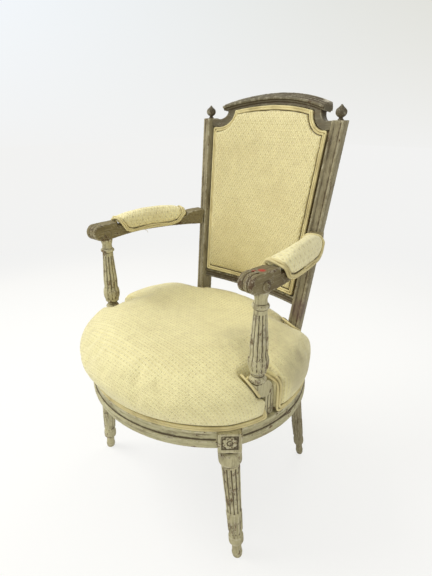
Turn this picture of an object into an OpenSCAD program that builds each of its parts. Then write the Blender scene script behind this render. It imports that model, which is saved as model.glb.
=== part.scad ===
// Open armchair in the Louis XVI manner: a round over-stuffed seat on a bowed frame,
// fluted legs, a shaped "hat" back that is hollow in plan, and padded scrolled arms.
// Millimetres, +Z up, the chair faces -Y, origin on the floor under the middle of its box.

/* [Seat frame] */
// Outer radius of the side rails, about the seat centre
seat_radius = 268; // [230:1:300]
// How much flatter the front bow is than the side rails
front_flatness = 39; // [20:1:60]
// How far the front rail stands back from the round of the side rails
front_setback = 28; // [15:1:40]
// How far the rear rail stands in from the round of the side rails
rear_setback = 51; // [35:1:65]
// Underside of the seat rails above the floor
rail_bottom = 300; // [270:1:340]
// Height of a seat rail
rail_height = 40; // [34:1:55]
// Thickness of a seat rail
rail_thickness = 30; // [24:1:36]

/* [Legs] */
// Side of the square die block at the head of a front leg
block_side = 48; // [40:1:56]
// Centre of a front die block, inside the round of the side rails
front_block_inset = 16; // [12:0.5:22]
// Turn of the front die block towards its corner, degrees
front_block_turn = 45; // [35:1:50]
// How far a front foot stands outside its head
front_splay = 27; // [0:1:40]
// Largest radius of a front leg, at its drum
drum_radius = 24.5; // [20:0.5:28]
// Radius of a front leg shaft under the drum
shaft_top_radius = 20; // [16:0.5:22]
// Radius of a front leg shaft above the ankle
shaft_foot_radius = 14.5; // [11:0.5:17]
// Radius of a front leg's ring above its foot
ankle_radius = 16.5; // [14:0.5:20]
// Flutes round a leg
flute_count = 12; // [8:1:16]
// Radius of the tool that cuts a leg flute
flute_radius = 3.1; // [2:0.1:4]

/* [Rear legs and stiles] */
// Where the rear legs stand on the round of the seat, degrees behind its sides
rear_leg_angle = 48; // [42:0.5:54]
// Centre of a rear block, inside the round of the side rails
rear_block_inset = 20; // [14:0.5:26]
// How far a rear foot stands outside its head, sideways
rear_splay_x = 8; // [0:1:30]
// How far a rear foot stands behind its head
rear_splay_y = 56; // [20:1:80]
// Side of the block at the head of a rear leg
rear_block_side = 42; // [36:1:48]
// Width of the face of a stile
stile_width = 30; // [24:1:36]
// Depth of a stile
stile_depth = 32; // [26:1:38]
// Turn of the stile towards the middle of the back, degrees
stile_turn = 15; // [5:1:25]
// How far the foot of a stile stands inside its leg's block, sideways
stile_inset_x = 12.5; // [8:0.5:16]
// How far the foot of a stile stands in front of its leg's block
stile_inset_y = 10; // [6:0.5:12]
// How far the stiles spread from the seat to their tops
stile_spread = 37; // [10:0.5:50]
// How far the stiles lean back from the seat to their tops
stile_lean_back = 79; // [50:0.5:110]
// Height of the top of the stiles
stile_top = 898; // [800:1:960]

/* [Back] */
// Radius of the hollow of the back, in plan
back_radius = 471; // [400:1:600]
// Lean of the middle of the back, degrees
back_rake = 9.71; // [5:0.01:14]
// Thickness of the top and lower rails
back_rail_thickness = 24; // [18:1:28]
// Top of the lower back rail, along the back from seat_mark
lower_rail_top = 99; // [85:1:150]
// Height of the lower back rail
lower_rail_height = 22; // [16:1:32]
// Height of the shoulders above the panel corner
shoulder_height = 20; // [16:1:26]
// Rise of the hat above the shoulders, to the springing of its crown
hat_rise = 23; // [16:1:30]
// Centre of a hollow corner, inside the centre of its stile
hat_inset = 30.7; // [26:0.1:40]
// Rise of the crown of the panel
panel_crown = 15; // [8:1:22]
// Rise of the underside of the cap
cap_crown = 25.5; // [18:0.5:32]
// End of the cap, inside the centre of a hollow corner
cap_inset = 12; // [8:0.5:20]
// Height of the front edge of the cap
cap_edge = 6.5; // [4:0.5:9]

/* [Arms] */
// Axis of an arm support, inside the round of the side rails
support_inset = 13.8; // [10:0.2:18]
// Axis of an arm support, in front of the seat centre
support_y = 68; // [55:1:80]
// Underside of the arm at its support
arm_underside = 622; // [580:1:660]
// Width of an arm
arm_width = 34; // [28:1:40]
// Radius of the arm scroll
scroll_radius = 18.5; // [16:0.5:22]
// How far an arm bows outwards between its support and its stile
arm_bow = 22; // [10:1:26]
// Rear end of an arm, outside the middle of its stile
arm_outset = 5; // [0:0.5:7]
// Length of an arm pad
pad_length = 212; // [180:1:222]
// Half width of an arm pad
pad_radius = 23; // [19:0.5:26]
// Foot of an arm support, behind its axis
support_setback = 30; // [20:1:40]
// Side of the square foot of an arm support
support_side = 26; // [22:1:30]

/* [Upholstery] */
// Height of the seat cushion above its rails
cushion_height = 125; // [100:1:150]
// Bulge of the cushion beyond the rails
cushion_bulge = 12; // [4:0.5:20]
// Radius of a welt cord
cord_radius = 2.8; // [2:0.1:3.6]
// Width of the double welt round the back
back_welt_width = 10; // [8:0.5:13]
// How far the back pad stands proud of the frame
back_pad_proud = 11; // [4:1:20]
// Width of a webbing strap
strap_width = 50; // [40:1:60]
// Space between a soft part and the wood beside it
soft_gap = 1.5; // [0.5:0.1:3]

/* [Fastenings] */
// Radius of a frame dowel
dowel_radius = 4.5; // [3:0.5:6]
// Length of a frame dowel
dowel_length = 40; // [30:1:50]
// Radial room of a dowel or screw in its hole
hole_room = 0.05; // [0.02:0.01:0.1]
// Radius of a corner block screw
screw_radius = 2.2; // [1.5:0.1:3]

/* [Hidden] */
$fn = 96;
eps = 0.01;
far = 900;
seat_mark = 400;                                  // height where the back's own frame starts
rail_top = rail_bottom + rail_height;
front_bow_radius = seat_radius + front_flatness;
front_reach = seat_radius - front_setback;
rear_reach = seat_radius - rear_setback;
front_centre = front_bow_radius - front_reach;    // centre of the front bow, behind the seat centre
front_corner = asin((pow(seat_radius, 2) + pow(front_centre, 2) - pow(front_bow_radius, 2))
    / (2 * seat_radius * front_centre));          // where the front bow meets a side bow
front_leg_x = (seat_radius - front_block_inset) * cos(front_corner + 1.3);
front_leg_y = -(seat_radius - front_block_inset) * sin(front_corner + 1.3);
rear_leg_x = (seat_radius - rear_block_inset) * cos(rear_leg_angle);
rear_leg_y = (seat_radius - rear_block_inset) * sin(rear_leg_angle);
stile_x_low = rear_leg_x - stile_inset_x;
stile_y_low = rear_leg_y - stile_inset_y;
stile_x_high = stile_x_low + stile_spread;
stile_y_high = stile_y_low + stile_lean_back;
hat_half_width = stile_x_high - hat_inset;
cap_half_length = hat_half_width - cap_inset;
support_x = sqrt(pow(seat_radius - support_inset, 2) - pow(support_y, 2));
rear_bow_radius = back_radius;
rear_centre = rear_reach - rear_bow_radius;
block_base = rail_bottom - 6;
block_rise = 6;                                   // height of a rear block above the rails
drum_height = 34;
neck_height = 7;
drum_base = block_base - neck_height - drum_height;
ankle_base = 38;
ankle_height = 24;
stop_flute_top = 126;                             // the lower flutes are filled up to here
flute_depth = 0.62;                               // share of the tool sunk in the shaft
rear_turn = atan2(rear_leg_y, rear_leg_x) - 90;   // the rear block faces along its radius
stile_base = rail_top + 4;
lean_x = (stile_x_high - stile_x_low) / (stile_top - stile_base);
lean_y = (stile_y_high - stile_y_low) / (stile_top - stile_base);
mark_x = stile_x_low + lean_x * (seat_mark - stile_base);
mark_y = stile_y_low + lean_y * (seat_mark - stile_base);
face_x = mark_x + stile_width / 2 * cos(stile_turn) - stile_depth / 2 * sin(stile_turn);
face_y = mark_y - stile_width / 2 * sin(stile_turn) - stile_depth / 2 * cos(stile_turn);
back_origin_y = face_y + back_radius - sqrt(pow(back_radius, 2) - pow(face_x, 2));
stile_end = (stile_top - seat_mark) / cos(back_rake);   // top of the stiles, along the back
shoulder_top = stile_end - 6;
panel_shoulder = shoulder_top - shoulder_height;
crown_spring = shoulder_top + hat_rise;
corner_radius = hat_rise;
panel_corner_radius = hat_rise + shoulder_height;
panel_half = hat_half_width - panel_corner_radius;
panel_crown_radius = (pow(panel_half, 2) + pow(panel_crown, 2)) / (2 * panel_crown);
cap_radius = (pow(cap_half_length, 2) + pow(cap_crown, 2)) / (2 * cap_crown);
cap_spring = crown_spring + 2;
cap_top = cap_spring + cap_crown + cap_edge + 12;
finial_height = 32;
mid_y = (back_origin_y + cap_top * sin(back_rake) + (back_rail_thickness + 8) * cos(back_rake)
         - front_reach - cushion_bulge) / 2;
arm_end_x = stile_x_at(640) + arm_outset;
arm_reach = sqrt(pow(support_x - arm_end_x, 2) + pow(support_y + stile_y_at(640), 2));
arm_turn = atan2(stile_y_at(640) + support_y, arm_end_x - support_x);
arm_radius = (pow(arm_reach / 2, 2) + pow(arm_bow, 2)) / (2 * arm_bow);   // of its curve in plan
arm_half_angle = asin(arm_reach / 2 / arm_radius);
knob_height = 20;
knob_base = rail_top + 88;
baluster_base = knob_base + knob_height + 4;
collar_height = 12;
collar_base = arm_underside - 36;
webbing_thickness = 1.5;
cushion_base = rail_top + 2 * webbing_thickness + 1.5;
cushion_inset = 2 * cord_radius + 1.4;            // the cushion's foot, inside the rail's face
foot_x = support_x - 3;                           // centre of the foot of an arm support
foot_y = -support_y + support_setback;
notch_gap = 2 * cord_radius + 1.1;                // room for a welt between foot and cushion
bulge_rise = 62;                                  // height of the cushion's widest line

function stile_x_at(z) = stile_x_low + lean_x * (z - stile_base);
function stile_y_at(z) = stile_y_low + lean_y * (z - stile_base);
// Points of a round between two angles
function arc(cx, cy, r, from, to, steps) =
    [for (i = [0:steps]) [cx + r * cos(from + (to - from) * i / steps),
                          cy + r * sin(from + (to - from) * i / steps)]];

// ---- Placing ----------------------------------------------------------------------------

module placed() { translate([0, -mid_y, 0]) children(); }

// side is 1 for the sitter's left and -1 for the sitter's right
module on_side(side) {
    if (side > 0) children();
    else mirror([1, 0, 0]) children();
}

// Turns +Z to run from p to q, without turning the shape about its own axis
module along(p, q) {
    d = q - p;
    c = atan2(d[1], d[0]);
    translate(p) rotate([0, acos(d[2] / norm(d)), c]) rotate([0, 0, -c]) children();
}

// Lifts a leaning leg so that its neck meets the block at its head
module from_head(foot, head) {
    translate([0, 0, norm(head - foot) - block_base]) children();
}

module back_frame() {
    translate([0, back_origin_y, seat_mark]) rotate([-back_rake, 0, 0]) children();
}

module arm_frame() {
    translate([support_x, -support_y, 0]) rotate([0, 0, arm_turn]) children();
}

// The frame of the straight front end of an arm, in line with the start of its curve
module arm_front_frame() {
    translate([support_x, -support_y, 0]) rotate([0, 0, arm_turn - arm_half_angle]) children();
}

// Sweeps a section, x inwards across the arm and y up, along the curve of an arm
module along_arm(beyond) {
    arm_frame() translate([arm_reach / 2, arm_radius - arm_bow, 0])
        rotate([0, 0, -90 - arm_half_angle - beyond]) rotate_extrude(
            angle = 2 * arm_half_angle + 2 * beyond, $fn = 480) translate([arm_radius, 0])
            mirror([1, 0]) children();
}

// ---- Turned legs ------------------------------------------------------------------------

function shaft_radius(z, low, high, base, top) = low + (high - low) * (z - base) / (top - base);

// Outline of a turned leg, from the foot up to the neck under its block
function leg_outline(low, high, drum, ankle, foot) = concat(
    [[0, -8], [foot * 0.62, -8], [foot * 0.88, 0]],
    arc(0, 9, foot, 0, 24, 2),
    [[foot * 0.86, ankle_base - 10], [foot * 0.86, ankle_base - 3], [low, ankle_base]],
    arc(ankle - 5, ankle_base + 5, 5, -80, 0, 4),
    arc(ankle - 5, ankle_base + ankle_height - 5, 5, 0, 80, 4),
    [[low, ankle_base + ankle_height], [high, drum_base]],
    [[high + 1, drum_base + 1]],
    arc(drum - 6, drum_base + 7, 6, -70, 0, 4),
    arc(drum - 6, drum_base + drum_height - 7, 6, 0, 80, 4),
    [[drum - 8, drum_base + drum_height], [drum - 7, block_base + 10], [0, block_base + 10]]);

// A rod with rounded ends that reach beyond its length
module round_rod(radius, length) {
    rotate_extrude($fn = 24) polygon([[0, -radius], [radius * 0.7, -radius * 0.7], [radius, 0],
        [radius, length], [radius * 0.7, length + radius * 0.7], [0, length + radius]]);
}

// Flutes cut down the shaft; the lowest stretch keeps a reed in each flute
module flutes(low, high, radius) {
    base = ankle_base + ankle_height + 6;
    top = drum_base - 8;
    out = radius * (1 - flute_depth);
    a = [shaft_radius(base, low, high, ankle_base, drum_base) + out, 0, base];
    b = [shaft_radius(top, low, high, ankle_base, drum_base) + out, 0, top];
    for (i = [0:flute_count - 1]) rotate([0, 0, 360 / flute_count * (i + 0.5)])
        along(a, b) round_rod(radius, norm(b - a));
}

module reeds(low, high, radius) {
    base = ankle_base + ankle_height + 10;
    sunk = radius * 0.45;
    a = [shaft_radius(base, low, high, ankle_base, drum_base) - sunk, 0, base];
    b = [shaft_radius(stop_flute_top, low, high, ankle_base, drum_base) - sunk, 0, stop_flute_top];
    for (i = [0:flute_count - 1]) rotate([0, 0, 360 / flute_count * (i + 0.5)])
        along(a, b) round_rod(radius * 0.72, norm(b - a));
}

module turned_leg(low, high, drum, ankle, foot, radius) {
    difference() {
        rotate_extrude() polygon(leg_outline(low, high, drum, ankle, foot));
        flutes(low, high, radius);
    }
    reeds(low, high, radius);
}

// ---- Front legs -------------------------------------------------------------------------

front_head = [front_leg_x, -front_leg_y, block_base];
front_foot = [front_leg_x + front_splay, -front_leg_y + 2, 0];

module front_block_place() {
    translate([front_leg_x, -front_leg_y, 0]) rotate([0, 0, front_block_turn]) children();
}

module front_block(grow = 0) {
    translate([-block_side / 2 - grow, -block_side / 2 - grow, block_base])
        cube([block_side + 2 * grow, block_side + 2 * grow, rail_top - block_base]);
}

// Carved rosette in a sunk square, on the face that looks along -Y
module rosette() {
    petal_ring = block_side * 0.21;
    for (i = [0:7]) rotate([0, i * 45 + 22.5, 0]) translate([petal_ring, 0, 0])
        sphere(r = block_side * 0.095, $fn = 24);
    sphere(r = block_side * 0.1, $fn = 24);
}

module front_leg() {
    panel = block_side - 14;
    panel_z = block_base + (rail_top - block_base) / 2 + 1;
    color("#8f8c73") difference() {
        union() {
            along(front_foot, front_head) from_head(front_foot, front_head)
                turned_leg(shaft_foot_radius, shaft_top_radius, drum_radius, ankle_radius, 12,
                           flute_radius);
            front_block_place() difference() {
                front_block();
                translate([-panel / 2, -block_side / 2 - 1, panel_z - panel / 2])
                    cube([panel, 3.2, panel]);
            }
            front_block_place() translate([0, -block_side / 2 + 2.2, panel_z]) rosette();
        }
        translate([0, 0, -50]) cube([far, far, 100], center = true);
        front_dowels(hole_room);
        front_screws(hole_room);
    }
}

// ---- Rear legs and stiles ---------------------------------------------------------------

rear_head = [rear_leg_x, rear_leg_y, block_base];
rear_foot = [rear_leg_x + rear_splay_x, rear_leg_y + rear_splay_y, 0];
stile_low = [stile_x_low, stile_y_low, stile_base];
stile_high = [stile_x_high, stile_y_high, stile_top];

module rear_block(grow = 0) {
    translate([rear_leg_x, rear_leg_y, block_base]) rotate([0, 0, rear_turn])
        translate([-rear_block_side / 2 - grow, -rear_block_side / 2 - grow, 0])
            cube([rear_block_side + 2 * grow, rear_block_side + 2 * grow,
                  rail_top + block_rise - block_base]);
}

// Section of a stile: its front face is moulded with a bead each side of a sunk band
module stile_section() {
    w = stile_width / 2;
    d = stile_depth / 2;
    polygon(concat([[-w, d], [-w, -d + 3]],
        arc(-w + 3, -d + 3, 3, 180, 340, 5),
        [[-w + 8, -d + 2.5], [w - 10, -d + 2.5]],
        arc(w - 5, -d + 3.5, 3.5, 200, 345, 5),
        arc(w - 1.5, -d + 7, 1.5, 200, 360, 4),
        [[w, d]]));
}

stile_run = stile_high - stile_low;

module stile_frame() {
    along(stile_low - stile_run * 0.1, stile_high) rotate([0, 0, stile_turn]) children();
}

module stile(grow = 0) {
    intersection() {
        stile_frame() linear_extrude(height = norm(stile_run) * 1.2)
                if (grow > 0) square([stile_width + 2 * grow, stile_depth + 2 * grow], center = true);
                else stile_section();
        translate([0, 0, rail_top + 1]) cube([far, far, stile_top - rail_top - 1]);
    }
}

// The weathered shoulder between the block of the leg and the stile
module block_shoulder() {
    corner = rear_block_side / sqrt(2);
    translate([rear_leg_x, rear_leg_y, rail_top + block_rise - eps]) rotate([0, 0, rear_turn + 45])
        cylinder(r1 = corner - 1, r2 = corner - 9, h = 9, $fn = 4);
}

module rear_stile() {
    color("#8a866d") difference() {
        union() {
            along(rear_foot, rear_head) from_head(rear_foot, rear_head)
                turned_leg(shaft_foot_radius * 0.86, shaft_top_radius * 0.84, drum_radius * 0.82,
                           ankle_radius * 0.83, 10, flute_radius * 0.85);
            rear_block();
            block_shoulder();
            stile();
        }
        translate([0, 0, -50]) cube([far, far, 100], center = true);
        rear_dowels(hole_room);
        rear_screws(hole_room);
        back_dowels(hole_room);
        finial_peg(hole_room);
        arm_dowel(hole_room);
    }
}

// ---- Seat rails -------------------------------------------------------------------------

// Section of a rail: x is the distance from the rail's outer face, inwards negative
module rail_section() {
    h = rail_height;
    polygon(concat(
        [[-rail_thickness, 0], [-5, 0]],
        arc(-3, 3, 3, -90, 50, 5),
        arc(-1.6, 7.4, 2, -60, 60, 4),
        arc(-1.6, 11.6, 2, -60, 60, 4),
        arc(-1.6, 15.8, 2, -60, 60, 4),
        [[-3.4, 18.6], [-3.8, 20], [-3.4, h - 9], [-1.4, h - 4], [-1.4, h], [-rail_thickness, h]]));
}

// A rail bent to a radius, from one angle to another about the Z axis
module bent_rail(radius, from, to) {
    rotate([0, 0, from]) rotate_extrude(angle = to - from, $fn = 180)
        translate([radius, 0]) rail_section();
}

// Everything on the far side of a block's face, to trim a rail to it
module beyond(offset, turn) {
    rotate([0, 0, turn]) translate([offset, -far, -far]) cube([far, 2 * far, 2 * far]);
}

module front_rail_blank() {
    translate([0, front_centre, rail_bottom]) bent_rail(front_bow_radius, 180 + 35, 360 - 35);
}

module front_seat_rail() {
    color("#93917a") difference() {
        front_rail_blank();
        for (s = [-1, 1]) on_side(s) {
            translate([front_leg_x, -front_leg_y, 0])
                beyond(-block_side / 2, 90 - front_block_turn);
            front_dowels(hole_room);
        }
    }
}

module side_rail() {
    color("#93917a") difference() {
        translate([0, 0, rail_bottom]) bent_rail(seat_radius, -34, 52);
        translate([front_leg_x, -front_leg_y, 0])
            beyond(-block_side / 2, -90 - front_block_turn - 2 * (45 - front_block_turn));
        translate([rear_leg_x, rear_leg_y, 0]) beyond(-rear_block_side / 2, rear_turn + 180);
        front_dowels(hole_room);
        rear_dowels(hole_room);
        support_dowel(hole_room);
    }
}

module rear_seat_rail() {
    color("#93917a") difference() {
        translate([0, rear_centre, rail_bottom]) rotate([0, 0, 90 - 24])
            rotate_extrude(angle = 48, $fn = 180)
                translate([rear_bow_radius - rail_thickness + 4, 0])
                    square([rail_thickness - 4, rail_height]);
        for (s = [-1, 1]) on_side(s) {
            rear_block();
            rear_dowels(hole_room);
            rear_screws(hole_room);
            translate([rear_leg_x, 0, rail_bottom - 1]) cube([far, far, far]);
        }
    }
}

// ---- Seat joints ------------------------------------------------------------------------

module dowel(grow) {
    cylinder(r = dowel_radius + grow, h = dowel_length + 4 * grow, center = true, $fn = 32);
}

dowel_heights = [rail_bottom + rail_height * 0.3, rail_bottom + rail_height * 0.7];

module front_dowels(grow = 0) {
    front_joint = block_side / 2;
    for (z = dowel_heights) {
        front_block_place() translate([-front_joint, 4, z]) rotate([0, 90, 0]) dowel(grow);
        front_block_place() translate([5, front_joint, z]) rotate([90, 0, 0]) dowel(grow);
    }
}

module rear_dowels(grow = 0) {
    for (z = dowel_heights) {
        translate([rear_leg_x, rear_leg_y, z]) rotate([0, 0, rear_turn])
            translate([rear_block_side / 2, 5, 0]) rotate([0, 90, 0]) dowel(grow);
        translate([rear_leg_x - rear_block_side / 2 - 4, rear_leg_y, z]) rotate([0, 90, 0])
            dowel(grow);
    }
}

module seat_frame_dowels() {
    color("tan") for (s = [-1, 1]) on_side(s) {
        front_dowels();
        rear_dowels();
        support_dowel();
    }
}

// Corner blocks are glued and screwed behind each leg
block_thickness = rail_height - 14;
brace_depth = 26;

module rails_inner_room(room) {
    translate([0, 0, rail_bottom - 1]) intersection() {
        cylinder(r = seat_radius - rail_thickness - room, h = rail_height + 2, $fn = 180);
        translate([0, front_centre, 0])
            cylinder(r = front_bow_radius - rail_thickness - room, h = rail_height + 2, $fn = 180);
        translate([0, rear_centre, 0])
            cylinder(r = rear_bow_radius - rail_thickness - room, h = rail_height + 2, $fn = 180);
    }
}

module front_corner_block() {
    color("#7d6a4f") difference() {
        intersection() {
            front_block_place() translate([-60, block_side / 2, rail_bottom + 7])
                cube([120, brace_depth, block_thickness]);
            rails_inner_room(0.3);
        }
        front_screws(hole_room);
        front_dowels(1);
    }
}

module rear_corner_block() {
    color("#7d6a4f") difference() {
        intersection() {
            translate([rear_leg_x, rear_leg_y, rail_bottom + 7]) rotate([0, 0, rear_turn])
                translate([-70, -rear_block_side / 2 - brace_depth, 0])
                    cube([140, brace_depth, block_thickness]);
            rails_inner_room(0.3);
        }
        rear_screws(hole_room);
        rear_dowels(1);
    }
}

module screw(grow) {
    length = brace_depth + 10;
    cylinder(r = screw_radius + grow, h = length, $fn = 24);
    translate([0, 0, -2]) cylinder(r1 = screw_radius * 2 + grow, r2 = screw_radius + grow, h = 3, $fn = 24);
    if (grow > 0) translate([0, 0, -12]) cylinder(r = screw_radius * 2 + grow, h = 10.01, $fn = 24);
}

screw_heights = [rail_bottom + 14, rail_bottom + rail_height - 14];

module front_screws(grow = 0) {
    for (z = screw_heights, x = [-13, 13]) front_block_place()
        translate([x + 2, block_side / 2 + brace_depth - 2, z]) rotate([90, 0, 0]) screw(grow);
}

module rear_screws(grow = 0) {
    for (z = screw_heights) translate([rear_leg_x, rear_leg_y, z]) rotate([0, 0, rear_turn])
        translate([8, -rear_block_side / 2 - brace_depth + 2, 0]) rotate([-90, 0, 0]) screw(grow);
}

module corner_block_screws() {
    color("#6b655c") for (s = [-1, 1]) on_side(s) {
        front_screws();
        rear_screws();
    }
}

// ---- Seat upholstery --------------------------------------------------------------------

// Plan of the seat frame, drawn in from the rails' outer faces
module seat_plan(inset) {
    intersection() {
        circle(r = seat_radius - inset, $fn = 180);
        translate([0, front_centre]) circle(r = front_bow_radius - inset, $fn = 180);
        translate([0, rear_centre]) circle(r = rear_bow_radius - inset, $fn = 180);
    }
}

module seat_layer(inset, base, thickness) {
    difference() {
        translate([0, 0, base]) linear_extrude(height = thickness) seat_plan(inset);
        for (s = [-1, 1]) on_side(s) {
            rear_block(1);
            stile(2);
            foot_room(notch_gap);
        }
    }
}

strap_pitch = strap_width * 1.45;

module seat_webbing_lengthwise() {
    color("#9c8a63") intersection() {
        seat_layer(cushion_inset + 6, rail_top, webbing_thickness);
        for (i = [-2:2]) translate([i * strap_pitch, 0, rail_top + webbing_thickness / 2])
            cube([strap_width, far, 10], center = true);
    }
}

module seat_webbing_crosswise() {
    color("#9c8a63") intersection() {
        seat_layer(cushion_inset + 6, rail_top + webbing_thickness, webbing_thickness);
        for (i = [-2:2]) translate([0, i * strap_pitch - 8, rail_top + webbing_thickness])
            cube([far, strap_width, 10], center = true);
    }
}

module seat_hessian() {
    color("#a8946c") seat_layer(cushion_inset + 4, rail_top + 2 * webbing_thickness, 1);
}

module seat_dust_cover() {
    color("#2b2a28") difference() {
        translate([0, 0, rail_bottom - 1.2]) linear_extrude(height = 1.2) seat_plan(12);
        for (s = [-1, 1]) on_side(s) {
            front_block_place() front_block(1);
            rear_block(1);
        }
    }
}

// Half outline of the cushion for one bow: foot, bulging side, then a low round top
function cushion_outline(r) = concat(
    [[0, cushion_base], [r - cushion_inset, cushion_base],
     [r - cushion_inset, rail_top + 4 * cord_radius]],
    [for (t = [-75:15:0]) [r - cushion_inset + 3 + (cushion_bulge + cushion_inset - 3) * cos(t),
                           rail_top + bulge_rise + 48 * sin(t)]],
    [for (k = [0.985, 0.96, 0.92, 0.86, 0.78, 0.66, 0.5, 0.3, 0])
        [(r + cushion_bulge) * k, rail_top + bulge_rise
            + (cushion_height - bulge_rise) * pow(1 - pow(k, 1.9), 1 / 2.9)]]);

module cushion_body() {
    intersection() {
        rotate_extrude($fn = 120) polygon(cushion_outline(seat_radius));
        translate([0, front_centre, 0]) rotate_extrude($fn = 120)
            polygon(cushion_outline(front_bow_radius));
        translate([0, rear_centre, 0]) rotate_extrude($fn = 120)
            polygon(cushion_outline(rear_bow_radius));
    }
}

// Room round the foot of an arm support, open to the outside of the seat
module foot_room(gap) {
    half = support_side / 2 + gap;
    translate([foot_x - half, foot_y - half, rail_top - 1]) cube([far, 2 * half, far]);
}

// Side of the room in the cushion for an arm support, grown by a gap; y is forward negative
module support_notch_side(gap) {
    front = support_side / 2 + gap;
    lean = -support_setback - 15 - gap;
    rise = knob_base - rail_top;
    polygon(concat([[front, rail_top - 1], [front, knob_base + 120], [lean - 3, knob_base + 120],
        [lean - 3, knob_base - 2]],
        [for (t = [0:15:90]) [lean + (-front - lean) * (1 - cos(t)),
                              rail_top + rise * 0.86 - rise * 0.36 * sin(t)]],
        [[-front, rail_top - 1]]));
}

module support_notch(gap) {
    translate([support_x - 34, foot_y, 0]) rotate([90, 0, 90])
        linear_extrude(height = 200) support_notch_side(gap);
}

module seat_cushion() {
    color("#e6dca2") difference() {
        cushion_body();
        for (s = [-1, 1]) on_side(s) {
            support_notch(notch_gap);
            stile(soft_gap + 2 * cord_radius);
            rear_block(soft_gap);
            shoulder_room();
        }
    }
}

// Room for the head of the rear leg, as a plain box round it
module shoulder_room() {
    translate([rear_leg_x, rear_leg_y, rail_top - 2]) rotate([0, 0, rear_turn])
        translate([-rear_block_side / 2 - soft_gap, -rear_block_side / 2 - soft_gap, 0])
            cube([80, 80, block_rise + 12]);
}

// Double welt round the seat, one cord above the other against the foot of the cushion
module seat_welt_ring() {
    r = cord_radius;
    for (k = [0, 2]) for (layer = [[0, 0.5, 0.7], [0.5, 1.6, 0], [1.6, 2.05, 0.7]])
        translate([0, 0, rail_top + (k + layer[0]) * r + 0.02])
        linear_extrude(height = (layer[1] - layer[0]) * r + eps)
            difference() {
                seat_plan(1 + layer[2]);
                seat_plan(1 + 2 * r);
            }
}

module side_welt_ring() {
    difference() {
        intersection() {
            seat_welt_ring();
            translate([0, -far, 0]) cube([far, 2 * far, far]);
        }
        foot_room(0.4);
        rear_block(0.4);
        shoulder_room();
    }
}

// The welt turns up beside the foot of the arm support; way is -1 in front of it, 1 behind
module rising_welt(way, height) {
    y = foot_y + way * (support_side / 2 + 0.7 + cord_radius);
    x = sqrt(pow(seat_radius - 1 - cord_radius, 2) - pow(y, 2));
    for (k = [0, 1.9]) translate([x - k * cord_radius, y, rail_top + 0.4])
        cylinder(r = cord_radius, h = height, $fn = 24);
}

module front_seat_welt() {
    color("#e9dfae") {
        intersection() {
            seat_welt_ring();
            translate([-far, foot_y - support_side / 2 - 0.4 - far, 0]) cube([2 * far, far, far]);
        }
        for (s = [-1, 1]) on_side(s) rising_welt(-1, 48);
    }
}

module side_seat_welt() {
    color("#e9dfae") {
        intersection() {
            side_welt_ring();
            translate([rear_leg_x - 10, foot_y, 0]) cube([far, far, far]);
        }
        rising_welt(1, 60);
    }
}

module rear_seat_welt() {
    color("#e9dfae") difference() {
        intersection() {
            seat_welt_ring();
            translate([-rear_leg_x + 10, 0, 0]) cube([2 * rear_leg_x - 20, far, far]);
        }
        for (s = [-1, 1]) on_side(s) {
            rear_block(0.4);
            shoulder_room();
        }
    }
}

// ---- Back frame -------------------------------------------------------------------------

// A curved slab of the back, from one depth behind the face to another
module back_slab(from, to, low, high) {
    translate([0, -back_radius, low]) difference() {
        cylinder(r = back_radius + to, h = high - low, $fn = 360);
        translate([0, 0, -1]) cylinder(r = back_radius + from, h = high - low + 2, $fn = 360);
    }
}

// Cuts a back slab to an outline drawn as seen from the front
module cut_to_outline(from, to, low, high) {
    intersection() {
        back_slab(from, to, low, high);
        rotate([90, 0, 0]) translate([0, 0, -140]) linear_extrude(height = 280) children();
    }
}

// Edge of the panel against the stiles
stile_lean = atan(lean_x * cos(back_rake));
panel_side_low = face_x - stile_width * cos(stile_turn) + 0.5;
function panel_side(w) = panel_side_low + w * tan(stile_lean);

// Outline of the upholstered panel, drawn in by an inset
module panel_outline(inset) {
    low = lower_rail_top + inset;
    top = panel_shoulder - inset;
    neck = hat_half_width - panel_corner_radius - inset;
    intersection() {
        union() {
            polygon([[-panel_side(low) + inset, low], [panel_side(low) - inset, low],
                     [panel_side(top) - inset, top], [-panel_side(top) + inset, top]]);
            difference() {
                translate([-hat_half_width, panel_shoulder - 40])
                    square([2 * hat_half_width, 100]);
                for (s = [-1, 1]) {
                    translate([s * hat_half_width, crown_spring])
                        circle(r = panel_corner_radius + inset, $fn = 96);
                    translate([s * (neck + far / 2), crown_spring + far / 2])
                        square([far, far], center = true);
                }
            }
        }
        translate([0, crown_spring + panel_crown - panel_crown_radius - inset])
            circle(r = panel_crown_radius, $fn = 360);
    }
}

// Outline of the top rail: shoulders, hollow corners and the crown under the cap
module top_rail_outline() {
    difference() {
        intersection() {
            union() {
                translate([-stile_x_high, panel_shoulder - 30])
                    square([2 * stile_x_high, shoulder_height + 30]);
                translate([-hat_half_width, panel_shoulder - 30]) square([2 * hat_half_width, 120]);
            }
            translate([0, cap_spring + cap_crown - cap_radius]) circle(r = cap_radius, $fn = 360);
        }
        for (s = [-1, 1]) translate([s * hat_half_width, crown_spring])
            circle(r = corner_radius, $fn = 96);
        for (s = [-1, 1])
            translate([s * (hat_half_width + far / 2 - corner_radius), crown_spring + far / 2])
            square([far, far], center = true);
        panel_outline(0);
        translate([-stile_x_high, panel_shoulder - 31]) square([2 * stile_x_high, 31]);
    }
}

// One step of the cap: a crescent that follows the crown
module cap_step(low, high) {
    intersection() {
        difference() {
            translate([0, cap_spring + cap_crown - cap_radius + high]) circle(r = cap_radius, $fn = 360);
            translate([0, cap_spring + cap_crown - cap_radius + low]) circle(r = cap_radius, $fn = 360);
        }
        translate([-cap_half_length, cap_spring - 40]) square([2 * cap_half_length, 200]);
    }
}

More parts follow.
